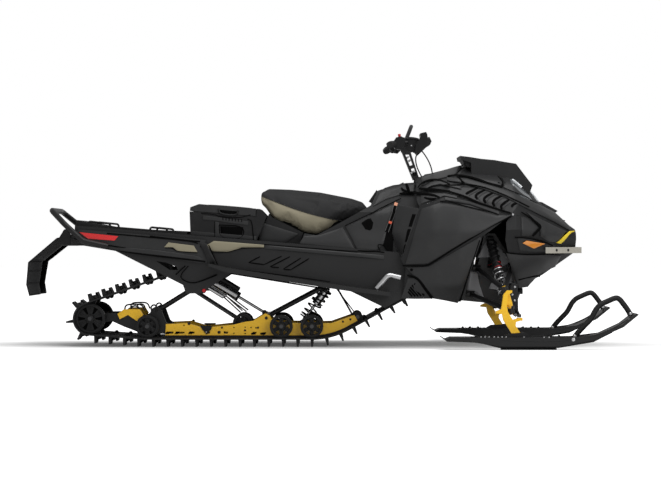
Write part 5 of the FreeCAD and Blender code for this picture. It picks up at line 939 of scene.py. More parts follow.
def seatLoft(p, stations=48, around=48):
    # at each station x, y = w * sign(cos) |cos|^(2/n) and z = middle + h * sign(sin) |sin|^(2/n)
    topX, topZ = photoPoint(*np.array(p["top"]).T, p["lateral"])
    lowX, lowZ = photoPoint(*np.array(p["low"]).T, p["lateral"])
    share = (1 - np.cos(np.linspace(0, np.pi, stations))) / 2
    x = topX[0] + p["inset"] + share * (topX[-1] - topX[0] - 2 * p["inset"])
    high = np.interp(x, topX, topZ) - p["inset"]
    low = np.interp(x, lowX, lowZ) - p["sink"]
    half = np.interp(x, (x[0], p["waist"], x[-1]), (p["across"], p["across"], p["nose"]))
    near = np.minimum(np.minimum(share, 1 - share) * p["ends"], 1)
    ends = np.sqrt(np.clip(1 - (1 - near) ** 2, p["leastEnd"], 1))
    angle = np.arange(around) / around * 2 * np.pi
    fold = 2 / p["power"]
    c = np.sign(np.cos(angle)) * np.abs(np.cos(angle)) ** fold
    s = np.sign(np.sin(angle)) * np.abs(np.sin(angle)) ** fold
    tall = np.maximum((high - low) / 2, p["leastTall"])
    y = half[:, None] * (p["endWide"][0] + p["endWide"][1] * ends[:, None]) * c
    lower, rise = p["endTall"]
    z = ((high + low) / 2)[:, None] + tall[:, None] * (lower + rise * ends[:, None]) * s
    points = np.stack([np.broadcast_to(x[:, None], y.shape), y, z], -1).reshape(-1, 3)
    poles = [points[:around].mean(0, keepdims=True), points[-around:].mean(0, keepdims=True)]
    return np.concatenate([points, *poles]), tubeFaces(stations, around)


def readMesh(items, name):
    # one vector of every vertex or face of a mesh
    values = np.empty(len(items) * 3)
    items.foreach_get(name, values)
    return values.reshape(-1, 3)


def inflate(piece, p):
    # remesh, let the cloth swell under pressure, and keep each point within the cap of where it began
    remesh = piece.modifiers.new("remesh", "REMESH")
    remesh.mode = "VOXEL"
    remesh.voxel_size = p["voxel"]
    graph = bpy.context.evaluated_depsgraph_get()
    data = bpy.data.meshes.new_from_object(piece.evaluated_get(graph))
    piece.modifiers.clear()
    piece.data = data
    start = readMesh(data.vertices, "co")
    cloth = piece.modifiers.new("cloth", "CLOTH")
    cloth.settings.quality = p["quality"]
    cloth.settings.use_pressure = True
    cloth.settings.uniform_pressure_force = p["pressure"]
    cloth.settings.effector_weights.gravity = 0
    cloth.collision_settings.use_collision = False
    cloth.point_cache.frame_start = 1
    cloth.point_cache.frame_end = p["frames"]
    for step in range(1, p["frames"] + 1):
        scene.frame_set(step)
    graph = bpy.context.evaluated_depsgraph_get()
    move = readMesh(piece.evaluated_get(graph).data.vertices, "co") - start
    piece.modifiers.clear()
    scene.frame_set(1)
    reach = np.linalg.norm(move, axis=1, keepdims=True)
    move *= np.minimum(1, p["cap"] / np.maximum(reach, 1e-9))
    move[:, 2] = np.maximum(move[:, 2], -p["inset"] / 2)
    data.vertices.foreach_set("co", (start + move).ravel())
    data.update()


seatPiece = addPiece("seatPad", [seatLoft(seat)], [])
inflate(seatPiece, seat)
seatPiece.data.materials.clear()
for finish in (finishes["seat_vinyl"], khakiVinyl):
    seatPiece.data.materials.append(finish)
centres = readMesh(seatPiece.data.polygons, "center")
seamX, seamZ = photoPoint(*roundOff(seat["seam"]).T, seat["lateral"])
khaki = (centres[:, 2] < np.interp(centres[:, 0], seamX, seamZ)).astype(np.int32)  # the pad is khaki under its seam
seatPiece.data.polygons.foreach_set("material_index", khaki)
seatPiece.data.polygons.foreach_set("use_smooth", np.ones(len(khaki), dtype=bool))
smoothSeat = seatPiece.modifiers.new("smooth", "SUBSURF")
smoothSeat.levels = smoothSeat.render_levels = 1
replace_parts(seatPiece, "seat")


def seatHalf(x, z, reach):
    # half-width of the finished pad near a place of the side view: its widest point within a small reach
    points = readMesh(seatPiece.data.vertices, "co")
    near = (np.abs(points[None, :, 0] - x[:, None]) < reach) & (np.abs(points[None, :, 2] - z[:, None]) < reach)
    return np.where(near, points[None, :, 1], 0).max(1)


pipeX, pipeZ = photoPoint(*roundOff(seat["seam"])[1:-1].T, seat["lateral"])
pipeY = seatHalf(pipeX, pipeZ, seat["pipeReach"])
pipeLine = np.stack([pipeX, -pipeY - seat["pipeLift"], pipeZ], -1)[pipeY > seat["leastHalf"]]
addPair("seatPiping", [sweep(pipeLine, seat["pipeRadius"], 8)], finishes["seat_vinyl"])
# dark fillers behind the gap under the pad and behind the joint ahead of the cargo box: black sheets that paint the
# shade seen there
shades = dict(pad=[(274, 219.6), (303, 236.6), (317, 238.6), (345, 225.4), (371, 211.4), (368, 208.6),
                   (342, 219.6), (316, 230), (304, 228), (277, 216.6)], padSide=-0.12,
              joint=[(296, 234), (307, 236), (306, 247), (295, 245)], jointSide=-0.15, thick=0.004)
addPair("seatShades", [slab(shades["pad"], shades["padSide"], shades["thick"]),
                       slab(shades["joint"], shades["jointSide"], shades["thick"])], blackAndShade)
print("seat ready")


# tail panels, laid over the tunnel's and the tail's sides

tailPanels = dict(
    khakiSides=dict(low=[(205, 246.6), (213, 251.2), (230.5, 252), (241.7, 247.4), (264, 247.4)],
                    high=[(205.3, 246.2), (213.8, 240.9), (228, 241.9), (241.7, 243), (264, 244.8)],
                    wall=tunnelWall, lift=0.004, crown=0.002, finish=khakiPlastic, skin=skins["middle"]),
    sideShoulders=dict(low=[(265, 249), (300, 252.4), (345, 256.4), (384, 259.6)],
                       high=[(265, 244.9), (300, 247.8), (345, 251.6), (384, 255.2)],
                       wall=tunnelWall, lift=0.003, crown=0.006, finish=charcoal, skin=skins["middle"]),
    khakiTails=dict(low=[(164.3, 247.2), (173, 247.3), (177.4, 251.1), (197.6, 252.2)],
                    high=[(168.3, 242.4), (176.5, 243.4), (185, 244.5), (193.8, 245.6)],
                    wall=tailWall, lift=0.003, crown=0.001, finish=khakiPlastic, skin=skins["thin"]),
    tailBands=dict(low=[(120, 250.6), (150, 254.2), (174, 257), (203.6, 260.6)],
                   high=[(118, 247.2), (150, 249.4), (175.6, 252.6), (199.4, 256.6)],
                   wall=tailWall, lift=0.003, crown=0.002, finish=charcoal, skin=skins["thin"]),
    tailPosts=dict(low=[(208.4, 263.4), (216, 261.8)], high=[(199.4, 243), (206.4, 243)],
                   wall=tailWall, lift=0.007, crown=0.003, finish=black, skin=dict(solid=0.006, bevel=0.0015)))
for name, p in tailPanels.items():
    addPair(name, [panel(p, p["wall"])], p["finish"], **p["skin"])

# their gaps and trailing lines, rivets and slanted strokes; the gaps are dark strips of painted shade
tailMarks = dict(
    gaps=[([(120, 251.4), (150, 255.3), (174, 258), (205.4, 261.6)], (0.7, 1.6, 1.4)),
          ([(150, 236.2), (168, 238.6), (192, 241.2), (198, 243.6)], (1.2, 1.8, 1.0)),
          ([(200.4, 246), (206.6, 254), (213.6, 263.6)], (0.9, 0.9)),
          ([(208.6, 245), (213, 254.6), (217.4, 264.4)], (1.2, 1.0)),
          ([(188.4, 266), (181.4, 273.6), (180.6, 278.2), (187, 282), (194, 283), (200, 281.4), (208, 278.4),
            (217, 274.6)], (0.9, 1.3, 1.6)),
          ([(185.4, 265.8), (180.6, 270), (175.8, 274.8)], (1.1, 1.4)),
          ([(206.6, 252.6), (226.4, 253), (240.6, 248.2), (264, 247.8)], (0.6, 0.9, 0.6)),
          ([(165, 247.8), (172.6, 248), (177, 251.6), (197.4, 252.8)], (0.6, 0.8, 0.6))],
    boardGaps=[([(214, 266.4), (240, 269.6), (300, 277.4), (330, 281.6)], (0.5, 0.8, 0.5)),
               ([(231, 273.6), (300, 284.6), (330, 289.6)], (1.2, 1.6, 1.2)),
               ([(264, 244.4), (300, 247.4), (345, 251), (358, 251.4)], (0.6, 1.1, 0.8))],
    rivets=[(330 + 9.6 * k, 285.4 + 1.05 * k) for k in range(8)] + [(218, 268.6), (226, 270.2), (234, 271.6)],
    strokes=[((248.6, 262.6), (260, 256.6)), ((249, 262.6), (264, 264.6)), ((264, 264.6), (281.6, 256.2)),
             ((270, 266.8), (290, 256.6)), ((271, 267), (279, 267.6)), ((283.4, 269), (301, 258)),
             ((284, 269.4), (291, 269.8)), ((291, 269.6), (309, 258.6))],
    trail=[((74.4, 238.4), (84, 241.6), (115, 246.4), (160, 254), (175, 256.6)),
           ((107, 233.4), (130, 235.4), (160, 238.2), (200, 241.6))], trailRadius=0.0035, trailLift=0.0005,
    gapLift=0.0045, gapDeep=0.002, rivetRadius=0.0045, rivetHeight=0.0025, strokeWide=(0.7, 1.3, 0.9),
    strokeLift=0.002, strokeDeep=0.001)
m = tailMarks
addPair("tailLines", [bead(line, tailWall, m["trailRadius"], lift=m["trailLift"]) for line in m["trail"]], blackAndShade)
addPair("tailGapShades", ribbons(m["gaps"], tailWall, m["gapLift"]), blackAndShade, solid=m["gapDeep"])
addPair("tunnelGapShades", ribbons(m["boardGaps"], tunnelWall, m["gapLift"]), blackAndShade, solid=m["gapDeep"])
addPair("tunnelRivets", [heads(m["rivets"], tunnelWall, m["rivetRadius"], m["rivetHeight"], 10)], charcoal)
addPair("sideStrokes", ribbons([(line, m["strokeWide"]) for line in m["strokes"]], tunnelWall, m["strokeLift"]),
        blackAndShade, solid=m["strokeDeep"])

# the flap's wings: lines and raised plates on each, and the plate of its hinge
flap = dict(outer=((70, 233), (56.7, 238), (28.2, 262.2), (26.2, 284.4), (29.3, 296)), outerSide=-0.218, lift=0.004,
            inner=((70, 245.8), (62.5, 245.8), (42.5, 261.6), (39, 283.2), (40.6, 294.4)), innerSide=-0.122,
            lines=(0.6, 0.74, 0.47), lineRadius=0.003, lineLift=0.002, lineWide=(0.04, 0.96),
            plates=((0.2, 0.46), (0.5, 0.59), (0.61, 0.73), (0.76, 0.97)),
            plateWide=(0.08, 0.9), hinge=[(58.6, 238.6), (64, 229.6), (70.4, 227.6), (71, 244.6), (62.8, 245)],
            hingeSide=-0.226, hingeThick=0.014)


def flapSurface(p, s, t, lift):
    # the wing is ruled: straight from the outer line at t = 0 to the inner line at t = 1, and lift stands it off
    rows = []
    for line, side in ((p["outer"], p["outerSide"]), (p["inner"], p["innerSide"])):
        x, z = photoPoint(*alongLine(line, s).T, side)
        rows.append(np.stack([x, np.full(x.shape, side), z], -1))
    points = rows[0][:, None] * (1 - t)[None, :, None] + rows[1][:, None] * t[None, :, None]
    run, across = points[-1, 0] - points[0, 0], points[0, -1] - points[0, 0]
    out = unit(np.cross(run, across))
    return points + (out if out[1] < 0 else -out) * lift


def flapPatch(p, low, high, rows=12, cols=6):
    points = flapSurface(p, np.linspace(low, high, rows), np.linspace(*p["plateWide"], cols), p["lift"])
    faces = gridFaces(rows, cols)
    facing = np.cross(points[1, 0] - points[0, 0], points[0, 1] - points[0, 0])[1]
    return points.reshape(-1, 3), [faces if facing < 0 else faces[:, ::-1]]


# known fault: from a single s, flapSurface gets no run to stand off from, so these lines come out without extent
across = np.linspace(*flap["lineWide"], 9)
flapLines = [flapSurface(flap, np.array((at,)), across, flap["lineLift"])[0] for at in flap["lines"]]
addPair("flapLines", [sweep(line, flap["lineRadius"], 8, (1, 0, 0)) for line in flapLines], blackAndShade)
addPair("flapPlates", [flapPatch(flap, *run) for run in flap["plates"]], finishes["flap_rubber"], **skins["middle"])
addPair("flapHinges", [slab(flap["hinge"], flap["hingeSide"], flap["hingeThick"])], black, bevel=rounding["plain"])
print("tail dressed")


# cargo box: latch, recess, raised bands, ribs on the lid, and the wedge ahead of it; the recess, the latch's face and
# the dark lines are painted shade

box = dict(latch=[(218.8, 209), (219.8, 214), (236.4, 215.7), (238.4, 210.6)], latchRadius=0.0052, latchLift=0.006,
           recessRim=[(219, 225), (244.6, 226), (242.6, 239.6), (219.6, 238), (219, 225)], rimRadius=0.003,
           rimLift=0.001,
           recess=([(221, 236.8), (241.4, 238.2)], [(220.4, 226.2), (243.2, 227.2)], boxWall, 0.0018),
           latchFace=([(220.4, 213.4), (236, 215)], [(219.6, 209.8), (237.4, 211.4)], boxWall, 0.003), darkDeep=0.0015,
           bands=[([(202.8, 219.6), (216, 220.6), (228, 222.6), (247.6, 225)],
                   [(202.8, 215.4), (216, 216.8), (228, 218.8), (248.4, 221.4)]),
                  ([(215.4, 237.4), (219.2, 237.8)], [(214.6, 221.8), (219, 222.2)]),
                  ([(190.6, 234.8), (256.4, 240.2)], [(190.6, 231), (256.6, 236.4)])], bandLift=0.003, bandCrown=0.0006,
           wedge=dict(low=[(259.4, 242.4), (285, 243)], high=[(259.6, 221.8), (298.6, 233.9)], lift=0.006,
                      crown=0.003),
           lines=[([(201.2, 213.4), (215, 214.4), (219, 216.6), (238, 218.2), (250.6, 214.8)], (0.6, 0.9, 0.6)),
                  ([(214.8, 221.4), (214.8, 238)], (0.7, 0.7)), ([(247.4, 219), (252, 221), (253.6, 240)], (0.7, 1.0)),
                  ([(190.6, 239), (222, 241.4), (256.4, 243.6)], (1.4, 1.6))], lineLift=0.0042, lineDeep=0.001)
# the row of short upright lines under the latch
comb = [([(223 + 3.1 * k, 217.4 + 0.3 * k), (223 + 3.1 * k, 220.2 + 0.3 * k)], (0.8, 0.8)) for k in range(7)]
addPiece("boxLatch", [bead(box["latch"], boxWall, box["latchRadius"], 10, box["latchLift"])], [black])
addPair("boxRims", [bead(box["recessRim"], boxWall, box["rimRadius"], lift=box["rimLift"])], blackAndShade)
addPair("boxShadePatches", [patch(*box["recess"]), patch(*box["latchFace"])], blackAndShade, solid=box["darkDeep"])
addPair("boxShadeLines", ribbons(box["lines"] + comb, boxWall, box["lineLift"], 1), blackAndShade, solid=box["lineDeep"])
addPair("boxBands", [patch(*band, boxWall, box["bandLift"], box["bandCrown"]) for band in box["bands"]], charcoal,
        **skins["thin"])
addPair("boxWedges", [panel(box["wedge"], wedgeWall)], charcoal, **skins["firm"])
lid = dict(line=[(203, 205.6), (210, 204.9), (250, 208.2), (254, 209.4)], lateral=-0.214, radius=0.005, sink=0.001,
           ribs=(-0.16, -0.08, 0.0, 0.08, 0.16))
lidX, lidZ = photoPoint(*roundOff(lid["line"]).T, lid["lateral"])
ribParts = [sweep(np.stack([lidX, np.full(len(lidX), y), lidZ - lid["sink"]], -1), lid["radius"], 10)
            for y in lid["ribs"]]
addPiece("lidRibs", ribParts, [charcoal], "lid")
print("box dressed")


# wheels: a lip, a cap and bolts on each, and a pair of ribs along every spoke

wheels = dict(
    list=[(90.4, 318.6, 0.208, 0.08), (147.5, None, 0.208, 0.061), (281.3, None, 0.208, 0.061),
          (311.8, None, 0.208, 0.061), (192.3, 277.0, 0.136, 0.052), (242.6, 323.2, 0.118, 0.052)],
    railHeight=0.1076, rimSides=40, face=0.0155, hub=0.0185, rimIn=0.009, spokes=6, ribGap=0.0045, ribSide=0.0045,
    ribStart=0.019, ribEnd=0.001, ribSteps=6, ribRadius=0.0022, boltCircle=0.024, boltSide=0.004,
    boltSize=(0.0032, 0.003, 8),
    # (height, radius) of the lip, counted from the rim, of the cap, and of the rear wheels' dark backs, discs of
    # painted shade behind the spokes
    lip=((-0.002, -0.006), (0.001, -0.005), (0.0015, -0.002), (0.0015, 0.003), (-0.001, 0.0055), (-0.002, 0.0055)),
    cap=((-0.012, 0.017), (0.0005, 0.0165), (0.003, 0.014), (0.0045, 0.008), (0.0045, tip)),
    back=((-0.002, tip), (-0.002, 0.066), (0.002, 0.066), (0.002, tip)), backSide=-0.004)


def wheelPlaces(p):
    # centre, axis and radius of every wheel, on both sides of the machine
    for u, v, lateral, radius in p["list"]:
        x, z = photoPoint(u, v or 0, -lateral)
        for side in (-1, 1):
            yield np.array((x, side * lateral, z if v else p["railHeight"])), np.array((0.0, side, 0.0)), radius


def wheelParts(p):
    trim, bolts = [], []
    turn = (np.arange(p["spokes"]) + 0.5) / p["spokes"] * 2 * np.pi
    spokes = np.stack([np.cos(turn), np.zeros(p["spokes"]), np.sin(turn)], -1)
    for centre, axis, radius in wheelPlaces(p):
        rim = radius - p["rimIn"]
        trim.append(lathe(np.array(p["lip"]) + (0, rim), centre + axis * p["face"], axis, p["rimSides"]))
        trim.append(lathe(p["cap"], centre + axis * p["hub"], axis))
        steps = np.linspace(p["ribStart"], rim - p["ribEnd"], p["ribSteps"])[:, None]
        for spoke in spokes:
            gap = np.array((-spoke[2], 0, spoke[0])) * p["ribGap"]
            for shift in (-1, 1):
                start = centre + axis * p["ribSide"] + gap * shift
                trim.append(sweep(start + spoke * steps, p["ribRadius"], 6))
        bolts.append(studs(centre + axis * p["boltSide"] + spokes * p["boltCircle"], axis, *p["boltSize"]))
    return trim, bolts


rearWheels = list(wheelPlaces(wheels))[:2]
addPiece("wheelShadeDiscs", [lathe(wheels["back"], centre + axis * wheels["backSide"], axis, wheels["rimSides"])
                        for centre, axis, radius in rearWheels], [blackAndShade])
wheelTrim, wheelBolts = wheelParts(wheels)
addPiece("wheelTrim", wheelTrim, [finishes["wheel_plastic"]])
addPiece("wheelBolts", wheelBolts, [black])

# slide rails: clips, bolts, slots and dots, the loops on the rear bracket, and the red bolts of the rear arm; a size
# is a bolt head's radius, height and number of sides
rails = dict(side=0.1725,
             clip=[(200, 325.6), (212.4, 325.6), (211.4, 329), (206.8, 334.6), (202, 329)], clipSide=-0.1755,
             clipThick=0.006, clipBolt=[(206.4, 332)], clipBoltSize=(0.004, 0.003, 12), clipBoltLift=0.006,
             bolts=[(222, 327.6), (245, 330.4), (258, 327.6), (266.4, 318.4), (343, 321.6), (350.4, 319.4)],
             boltSize=(0.0055, 0.004, 12),
             slots=[(167.8, 332.8), (177.2, 332.8), (190.7, 332.8), (254.2, 333.2), (263.6, 333.6)],
             slotShape=[(-2.6, 1.2), (-1.2, -1.3), (2.6, -1.3), (1.2, 1.2)], slotSide=-0.1731, slotThick=0.002,
             dots=[(184, 325.2), (184, 332.6), (224.5, 331.8), (234, 327.4), (234, 333.2), (245.2, 327.2),
                   (245.2, 333.4), (251, 327.4), (256, 327.8)], dotSize=(0.0036, 0.0015, 10),
             rings=[(219.1, 332.2), (266.3, 318), (189.2, 323.4)], ringSize=(0.0085, 0.003, 14),
             loops=[[(124.6, 310.4), (125.6, 304.8), (133, 304.2), (142, 304.4), (144.6, 310.6)],
                    [(131, 310), (132, 306), (138, 306), (139.6, 310)],
                    [(151.6, 312), (150.8, 306.6), (154, 304.4), (157, 306.6), (156.4, 312)]], loopSide=0.166,
             loopRadius=0.0042, redBolt=[(204, 290.6)], redSide=0.272, redSize=(0.011, 0.008, 6))
r = rails
railWall, loopWall = flatWall(r["side"]), flatWall(r["loopSide"])
addPair("railClips", [slab(r["clip"], r["clipSide"], r["clipThick"])], black, bevel=rounding["small"])
addPair("railBolts", [heads(r["bolts"], railWall, *r["boltSize"])], black)
# the slots are black plates of painted shade in the rail's openings
addPair("railSlotShades", [slab(np.array(r["slotShape"]) + spot, r["slotSide"], r["slotThick"]) for spot in r["slots"]],
        blackAndShade)
addPair("railDots", [heads(r["dots"], railWall, *r["dotSize"])], blackAndShade)
addPair("railRings", [heads(r["rings"], railWall, *r["ringSize"])], black)
addPair("bracketLoops", [bead(line, loopWall, r["loopRadius"]) for line in r["loops"]], black)
addPair("clipBolts", [heads(r["clipBolt"], railWall, *r["clipBoltSize"], r["clipBoltLift"])], silverTube)
redPaint = painted("redPaint", (0.5, 0.012, 0.02), 0.35)
addPair("redBolts", [heads(r["redBolt"], flatWall(r["redSide"]), *r["redSize"])], redPaint)
print("skid dressed")


# shocks: bodies turned about their own axes, with real coil springs

def coil(start, end, radius, wire, turns, sides=10, perTurn=28, flat=0.35):
    # a helix: start + run * t + radius * (cos phi * side + sin phi * up), with phi = 2 pi turns t, and flat ends
    axis = unit(end - start)
    side = unit(np.cross(axis, (0.0, 1.0, 0.0)))
    t = np.linspace(0, 1, int(perTurn * turns) + 1)
    phi = t * turns * 2 * np.pi
    ease = t - flat * np.sin(2 * np.pi * t) / (2 * np.pi)
    out = np.cos(phi)[:, None] * side + np.sin(phi)[:, None] * np.cross(axis, side)
    return sweep(start + (end - start) * ease[:, None] + radius * out, wire, sides, out)


def eyeRing(centre, axis, radius, half, cut=0.9):
    # a short barrel about its centre, with its rims cut back by a tenth
    return lathe([(-half, tip), (-half, radius * cut), (-half * cut, radius), (half * cut, radius),
                  (half, radius * cut), (half, tip)], centre, axis)


def tubeBetween(a, b, radius, start=0.0, end=1.0):
    # a turned body between two shares of the way from a to b, with rounded rims
    a, b = np.asarray(a, float), np.asarray(b, float)
    low, high = a + (b - a) * start, a + (b - a) * end
    length = np.linalg.norm(high - low)
    rim = min(0.003, radius * 0.3, length * 0.3)
    return lathe([(0, tip), (0, radius - rim), (rim, radius), (length - rim, radius), (length, radius - rim),
                  (length, tip)], low, high - low)


def sideXYZ(u, v, lateral):
    x, z = photoPoint(u, v, lateral)
    return np.array((float(x), lateral, float(z)))


def shockParts(a, b, rods, coils):
    # rods: radius, two shares of the way from a to b, finish; coils: the shares, radius, wire, turns, detail, finish
    parts = [(*tubeBetween(a, b, *rod), number) for *rod, number in rods]
    return parts + [(*coil(a + (b - a) * low, a + (b - a) * high, *size), number) for low, high, *size, number in coils]


silver, dark, red = range(3)
shockEyes = dict(radius=0.0138, half=0.016)
skidShocks = dict(
    armTop=(331.6, 282.6), armLow=(268.6, 316.0), armSide=-0.118, centreLow=(302.3, 322.0), rearTop=(205.4, 276.6),
    rearAim=(211.5, 281.4), eyeOffset=0.0293, crossSide=0.1595, crossRadius=0.008,
    centreRods=[(0.0225, 0.06, 0.5, silver), (0.037, 0.08, 0.115, dark), (0.037, 0.42, 0.45, dark),
                (0.0075, 0.5, 0.96, silver), (0.036, 0.86, 0.89, dark)],
    centreCoils=[(0.12, 0.86, 0.0335, 0.0044, 6, dark)],
    rearRods=[(0.0245, 0.03, 0.55, silver), (0.0248, 0.53, 0.57, dark), (0.0078, 0.56, 0.97, silver)],
    reservoir=(0.014, 0.1, 0.52), reservoirLift=0.03472,
    sleeve=[(206.6, 286.4), (224, 297.2), (240.6, 312.4), (226, 296), (246.6, 311.6)], sleeveSide=-0.12,
    sleeveRadius=0.0105, rodRadius=0.0038)
shock = skidShocks
onPlane = np.array((1, 0, 1))
armTop, armLow = (sideXYZ(*shock[place], shock["armSide"]) * onPlane for place in ("armTop", "armLow"))
centreLow, rearTop, rearAim = (sideXYZ(*shock[place], 0.0) for place in ("centreLow", "rearTop", "rearAim"))
centreTop = armTop + unit(centreLow - armTop) * shock["eyeOffset"]
rearLow = armLow + unit(rearAim - armLow) * shock["eyeOffset"]
skidParts = [(*eyeRing(place, (0, 1, 0), **shockEyes), dark) for place in (centreTop, centreLow, rearTop, rearLow)]
skidParts += shockParts(centreTop, centreLow, shock["centreRods"], shock["centreCoils"])
skidParts += shockParts(rearTop, rearLow, shock["rearRods"], [])
crossEnd = np.array((0, shock["crossSide"], 0))
skidParts.append((*tubeBetween(centreLow - crossEnd, centreLow + crossEnd, shock["crossRadius"]), dark))
lean = unit(np.cross(rearLow - rearTop, (0.0, 1.0, 0.0))) * shock["reservoirLift"]
lean = lean if lean[2] > 0 else -lean
skidParts.append((*tubeBetween(rearTop + lean, rearLow + lean, *shock["reservoir"]), dark))
for side in (-1, 1):
    sleeve = [sideXYZ(*spot, shock["sleeveSide"]) * (1, -side, 1) for spot in shock["sleeve"]]
    skidParts += [(*tubeBetween(sleeve[0], sleeve[1], shock["sleeveRadius"]), silver),
                  (*tubeBetween(sleeve[1], sleeve[2], shock["rodRadius"]), dark),
                  (*tubeBetween(sleeve[3], sleeve[4], shock["rodRadius"]), dark)]
limiters = dict(line=[(338.4, 290.4), (346, 303.6), (352.6, 315.4)], side=0.1, radius=0.0045)
addPair("limiterRods", [bead(limiters["line"], flatWall(limiters["side"]), limiters["radius"], 10)],
        finishes["black_paint"])
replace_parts(addPiece("skidShocks", skidParts, [finishes["shock_metal"], finishes["black_paint"]]), "skid_shocks")

frontShocks = dict(
    top=(490.5, 238.5, -0.17455), low=(505.5, 301.5, -0.415),
    rods=[(0.0205, 0.03, 0.52, dark), (0.0285, 0.07, 0.1, dark), (0.0235, 0.4, 0.412, red), (0.0235, 0.47, 0.482, red),
          (0.0085, 0.52, 0.97, dark), (0.027, 0.53, 0.55, dark), (0.027, 0.9, 0.93, dark)],
    coils=[(0.1, 0.5, 0.0235, 0.0042, 6, 8, 24, dark), (0.5, 0.9, 0.025, 0.0044, 5, 8, 24, silver)])
frontTop, frontLow = sideXYZ(*frontShocks["top"]), sideXYZ(*frontShocks["low"])
frontParts = [(*eyeRing(place, (1, 0, 0), **shockEyes), dark) for place in (frontTop, frontLow)]
frontParts += shockParts(frontTop, frontLow, frontShocks["rods"], frontShocks["coils"])
shockFinishes = [finishes["shock_metal"], finishes["black_paint"], redPaint]
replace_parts(addPiece("frontShocks", bothSides(frontParts), shockFinishes), "front_shocks")
print("shocks ready")


# front arch: pale foil plates on the bulkheads, bolts on the bumper, and the bolted column beside each front shock

arch = dict(plates=[([(477.4, 258), (490, 257)], [(483, 246.6), (487.4, 239.4)]),
                    ([(501, 267), (511.4, 262)], [(493.4, 242.8), (496, 242.6)]),
                    ([(467, 291), (475, 293.4), (483.6, 297)], [(470.2, 271), (477, 271.6), (479.4, 284)]),
                    ([(489, 288.4), (498, 290)], [(491, 283), (497.4, 281.4)]),
                    ([(503, 282.6), (512.4, 283.4)], [(503.6, 272.4), (512.6, 271)])],
            plateWall=0.1444, plateLift=0.002, plateDeep=0.0015, bumper=((1.15, -0.296), (1.362, -0.104)),
            bumperHeight=0.511, bumperBolts=(0.3, 0.62), bumperLift=0.0004, boltSize=(0.007, 0.004, 12))
foil = painted("foil", (0.3, 0.3, 0.31), 0.5, (0.62, 0.62, 0.63), 0.7)
plateWall = flatWall(arch["plateWall"])
addPair("archPlates", [patch(low, high, plateWall, arch["plateLift"]) for low, high in arch["plates"]], foil,
        solid=arch["plateDeep"])
start, end = np.array(arch["bumper"])
along = end - start
outward = unit(np.array((along[1], -along[0])))
spots = [np.append(start + along * t + outward * arch["bumperLift"], arch["bumperHeight"])
         for t in arch["bumperBolts"]]
addPair("bumperBolts", [studs(spots, (*outward, 0), *arch["boltSize"])], black)
column = dict(outline=[(510, 286), (513, 283), (517.4, 284), (518.2, 314.6), (515.4, 317), (511, 313.4), (509, 306)],
              side=-0.385, thick=0.03, bolts=[(514.8, 287), (512.4, 294.6), (514.6, 300.4), (512.8, 306.2),
                                              (515.4, 314.4)], boltSide=0.4, boltSize=(0.0062, 0.005, 12))
addPair("armColumns", [slab(column["outline"], column["side"], column["thick"])], finishes["black_paint"],
        bevel=rounding["plain"])
addPair("armBolts", [heads(column["bolts"], flatWall(column["boltSide"]), *column["boltSize"])], silverTube)
print("arch dressed")


# steering: switch blocks, brake lever and guard, the red button, mount plates, strap, ribbed grips, gauge and cables

bars = dict(block=[(393.4, 141.4), (396, 137.6), (401, 136.4), (405.4, 139), (404.8, 145.6), (400.4, 150),
                   (395, 149), (392.4, 145.6)], blockSide=-0.235, blockWide=0.052,
            lever=[(394.6, 141.6, -0.262), (390.4, 141.8, -0.29), (388, 143, -0.33), (386.8, 144.2, -0.372)],
            leverRadius=0.0055, leverTaper=(0.6, 2.5, 26),
            brace=[(402.4, 139.4), (407, 138), (413, 138), (418.6, 139.4)], braceSide=0.036, braceRadius=0.0062,
            mount=[(404.6, 139), (408, 137.6), (413, 137.6), (419, 139.4), (421, 146), (417.4, 155.4), (414.8, 152.8),
                   (411.2, 151), (406, 150)], mountSide=-0.03, mountThick=0.005, mountBolts=[(411.4, 145.6),
                                                                                            (415.6, 147.6)],
            mountBoltSide=0.0325, mountBoltSize=(0.0055, 0.004, 12),
            guard=[(390, 146), (389.6, 151), (392, 153), (395.4, 151), (396.6, 147)], guardSide=0.25,
            guardRadius=0.0042, button=(399.9, 138.4, -0.235), buttonRise=(-0.004, 0, 0.0235), buttonRadius=0.0075,
            strap=[(406.8, 137.8, -0.028), (411.2, 126.6, -0.03), (411.2, 126.6, 0.03), (406.8, 137.8, 0.028)],
            strapRadius=0.0105, gripEnd=(390.1, 144.9, -0.372), gripStart=(394.2, 144.0, -0.247), ribCount=14,
            ribRange=(0.06, 0.78), rib=[(-0.002, 0.0168), (0, 0.0182), (0.002, 0.0182), (0.004, 0.0168)])
b = bars
leverRadius = thinEnds(b["leverRadius"], *b["leverTaper"])
leverPath, strapPath = (roundOff([sideXYZ(*spot) for spot in b[line]]) for line in ("lever", "strap"))
addPair("barControls", [slab(b["block"], b["blockSide"], b["blockWide"]), sweep(leverPath, leverRadius, 10, (0, 0, 1)),
                        bead(b["brace"], flatWall(b["braceSide"]), b["braceRadius"], 10),
                        slab(b["mount"], b["mountSide"], b["mountThick"])],
        finishes["display_plastic"], "steering", bevel=rounding["plain"])
addPiece("brakeGuard", [bead(b["guard"], flatWall(b["guardSide"]), b["guardRadius"])], [finishes["display_plastic"]],
         "steering")
addPair("mountBolts", [heads(b["mountBolts"], flatWall(b["mountBoltSide"]), *b["mountBoltSize"])], silverTube,
        "steering")
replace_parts(addPiece("grabStrap", [sweep(strapPath, b["strapRadius"], 14, (1, 0, 0))], [finishes["webbing"]],
                     "steering"), "grab_strap")
buttonPlace = sideXYZ(*b["button"])
addPiece("stopButton", [tubeBetween(buttonPlace, buttonPlace + b["buttonRise"], b["buttonRadius"])], [redPaint],
         "steering")
gripEnd = sideXYZ(*b["gripEnd"])
gripWay = sideXYZ(*b["gripStart"]) - gripEnd
firstRib, ribReach = b["ribRange"]
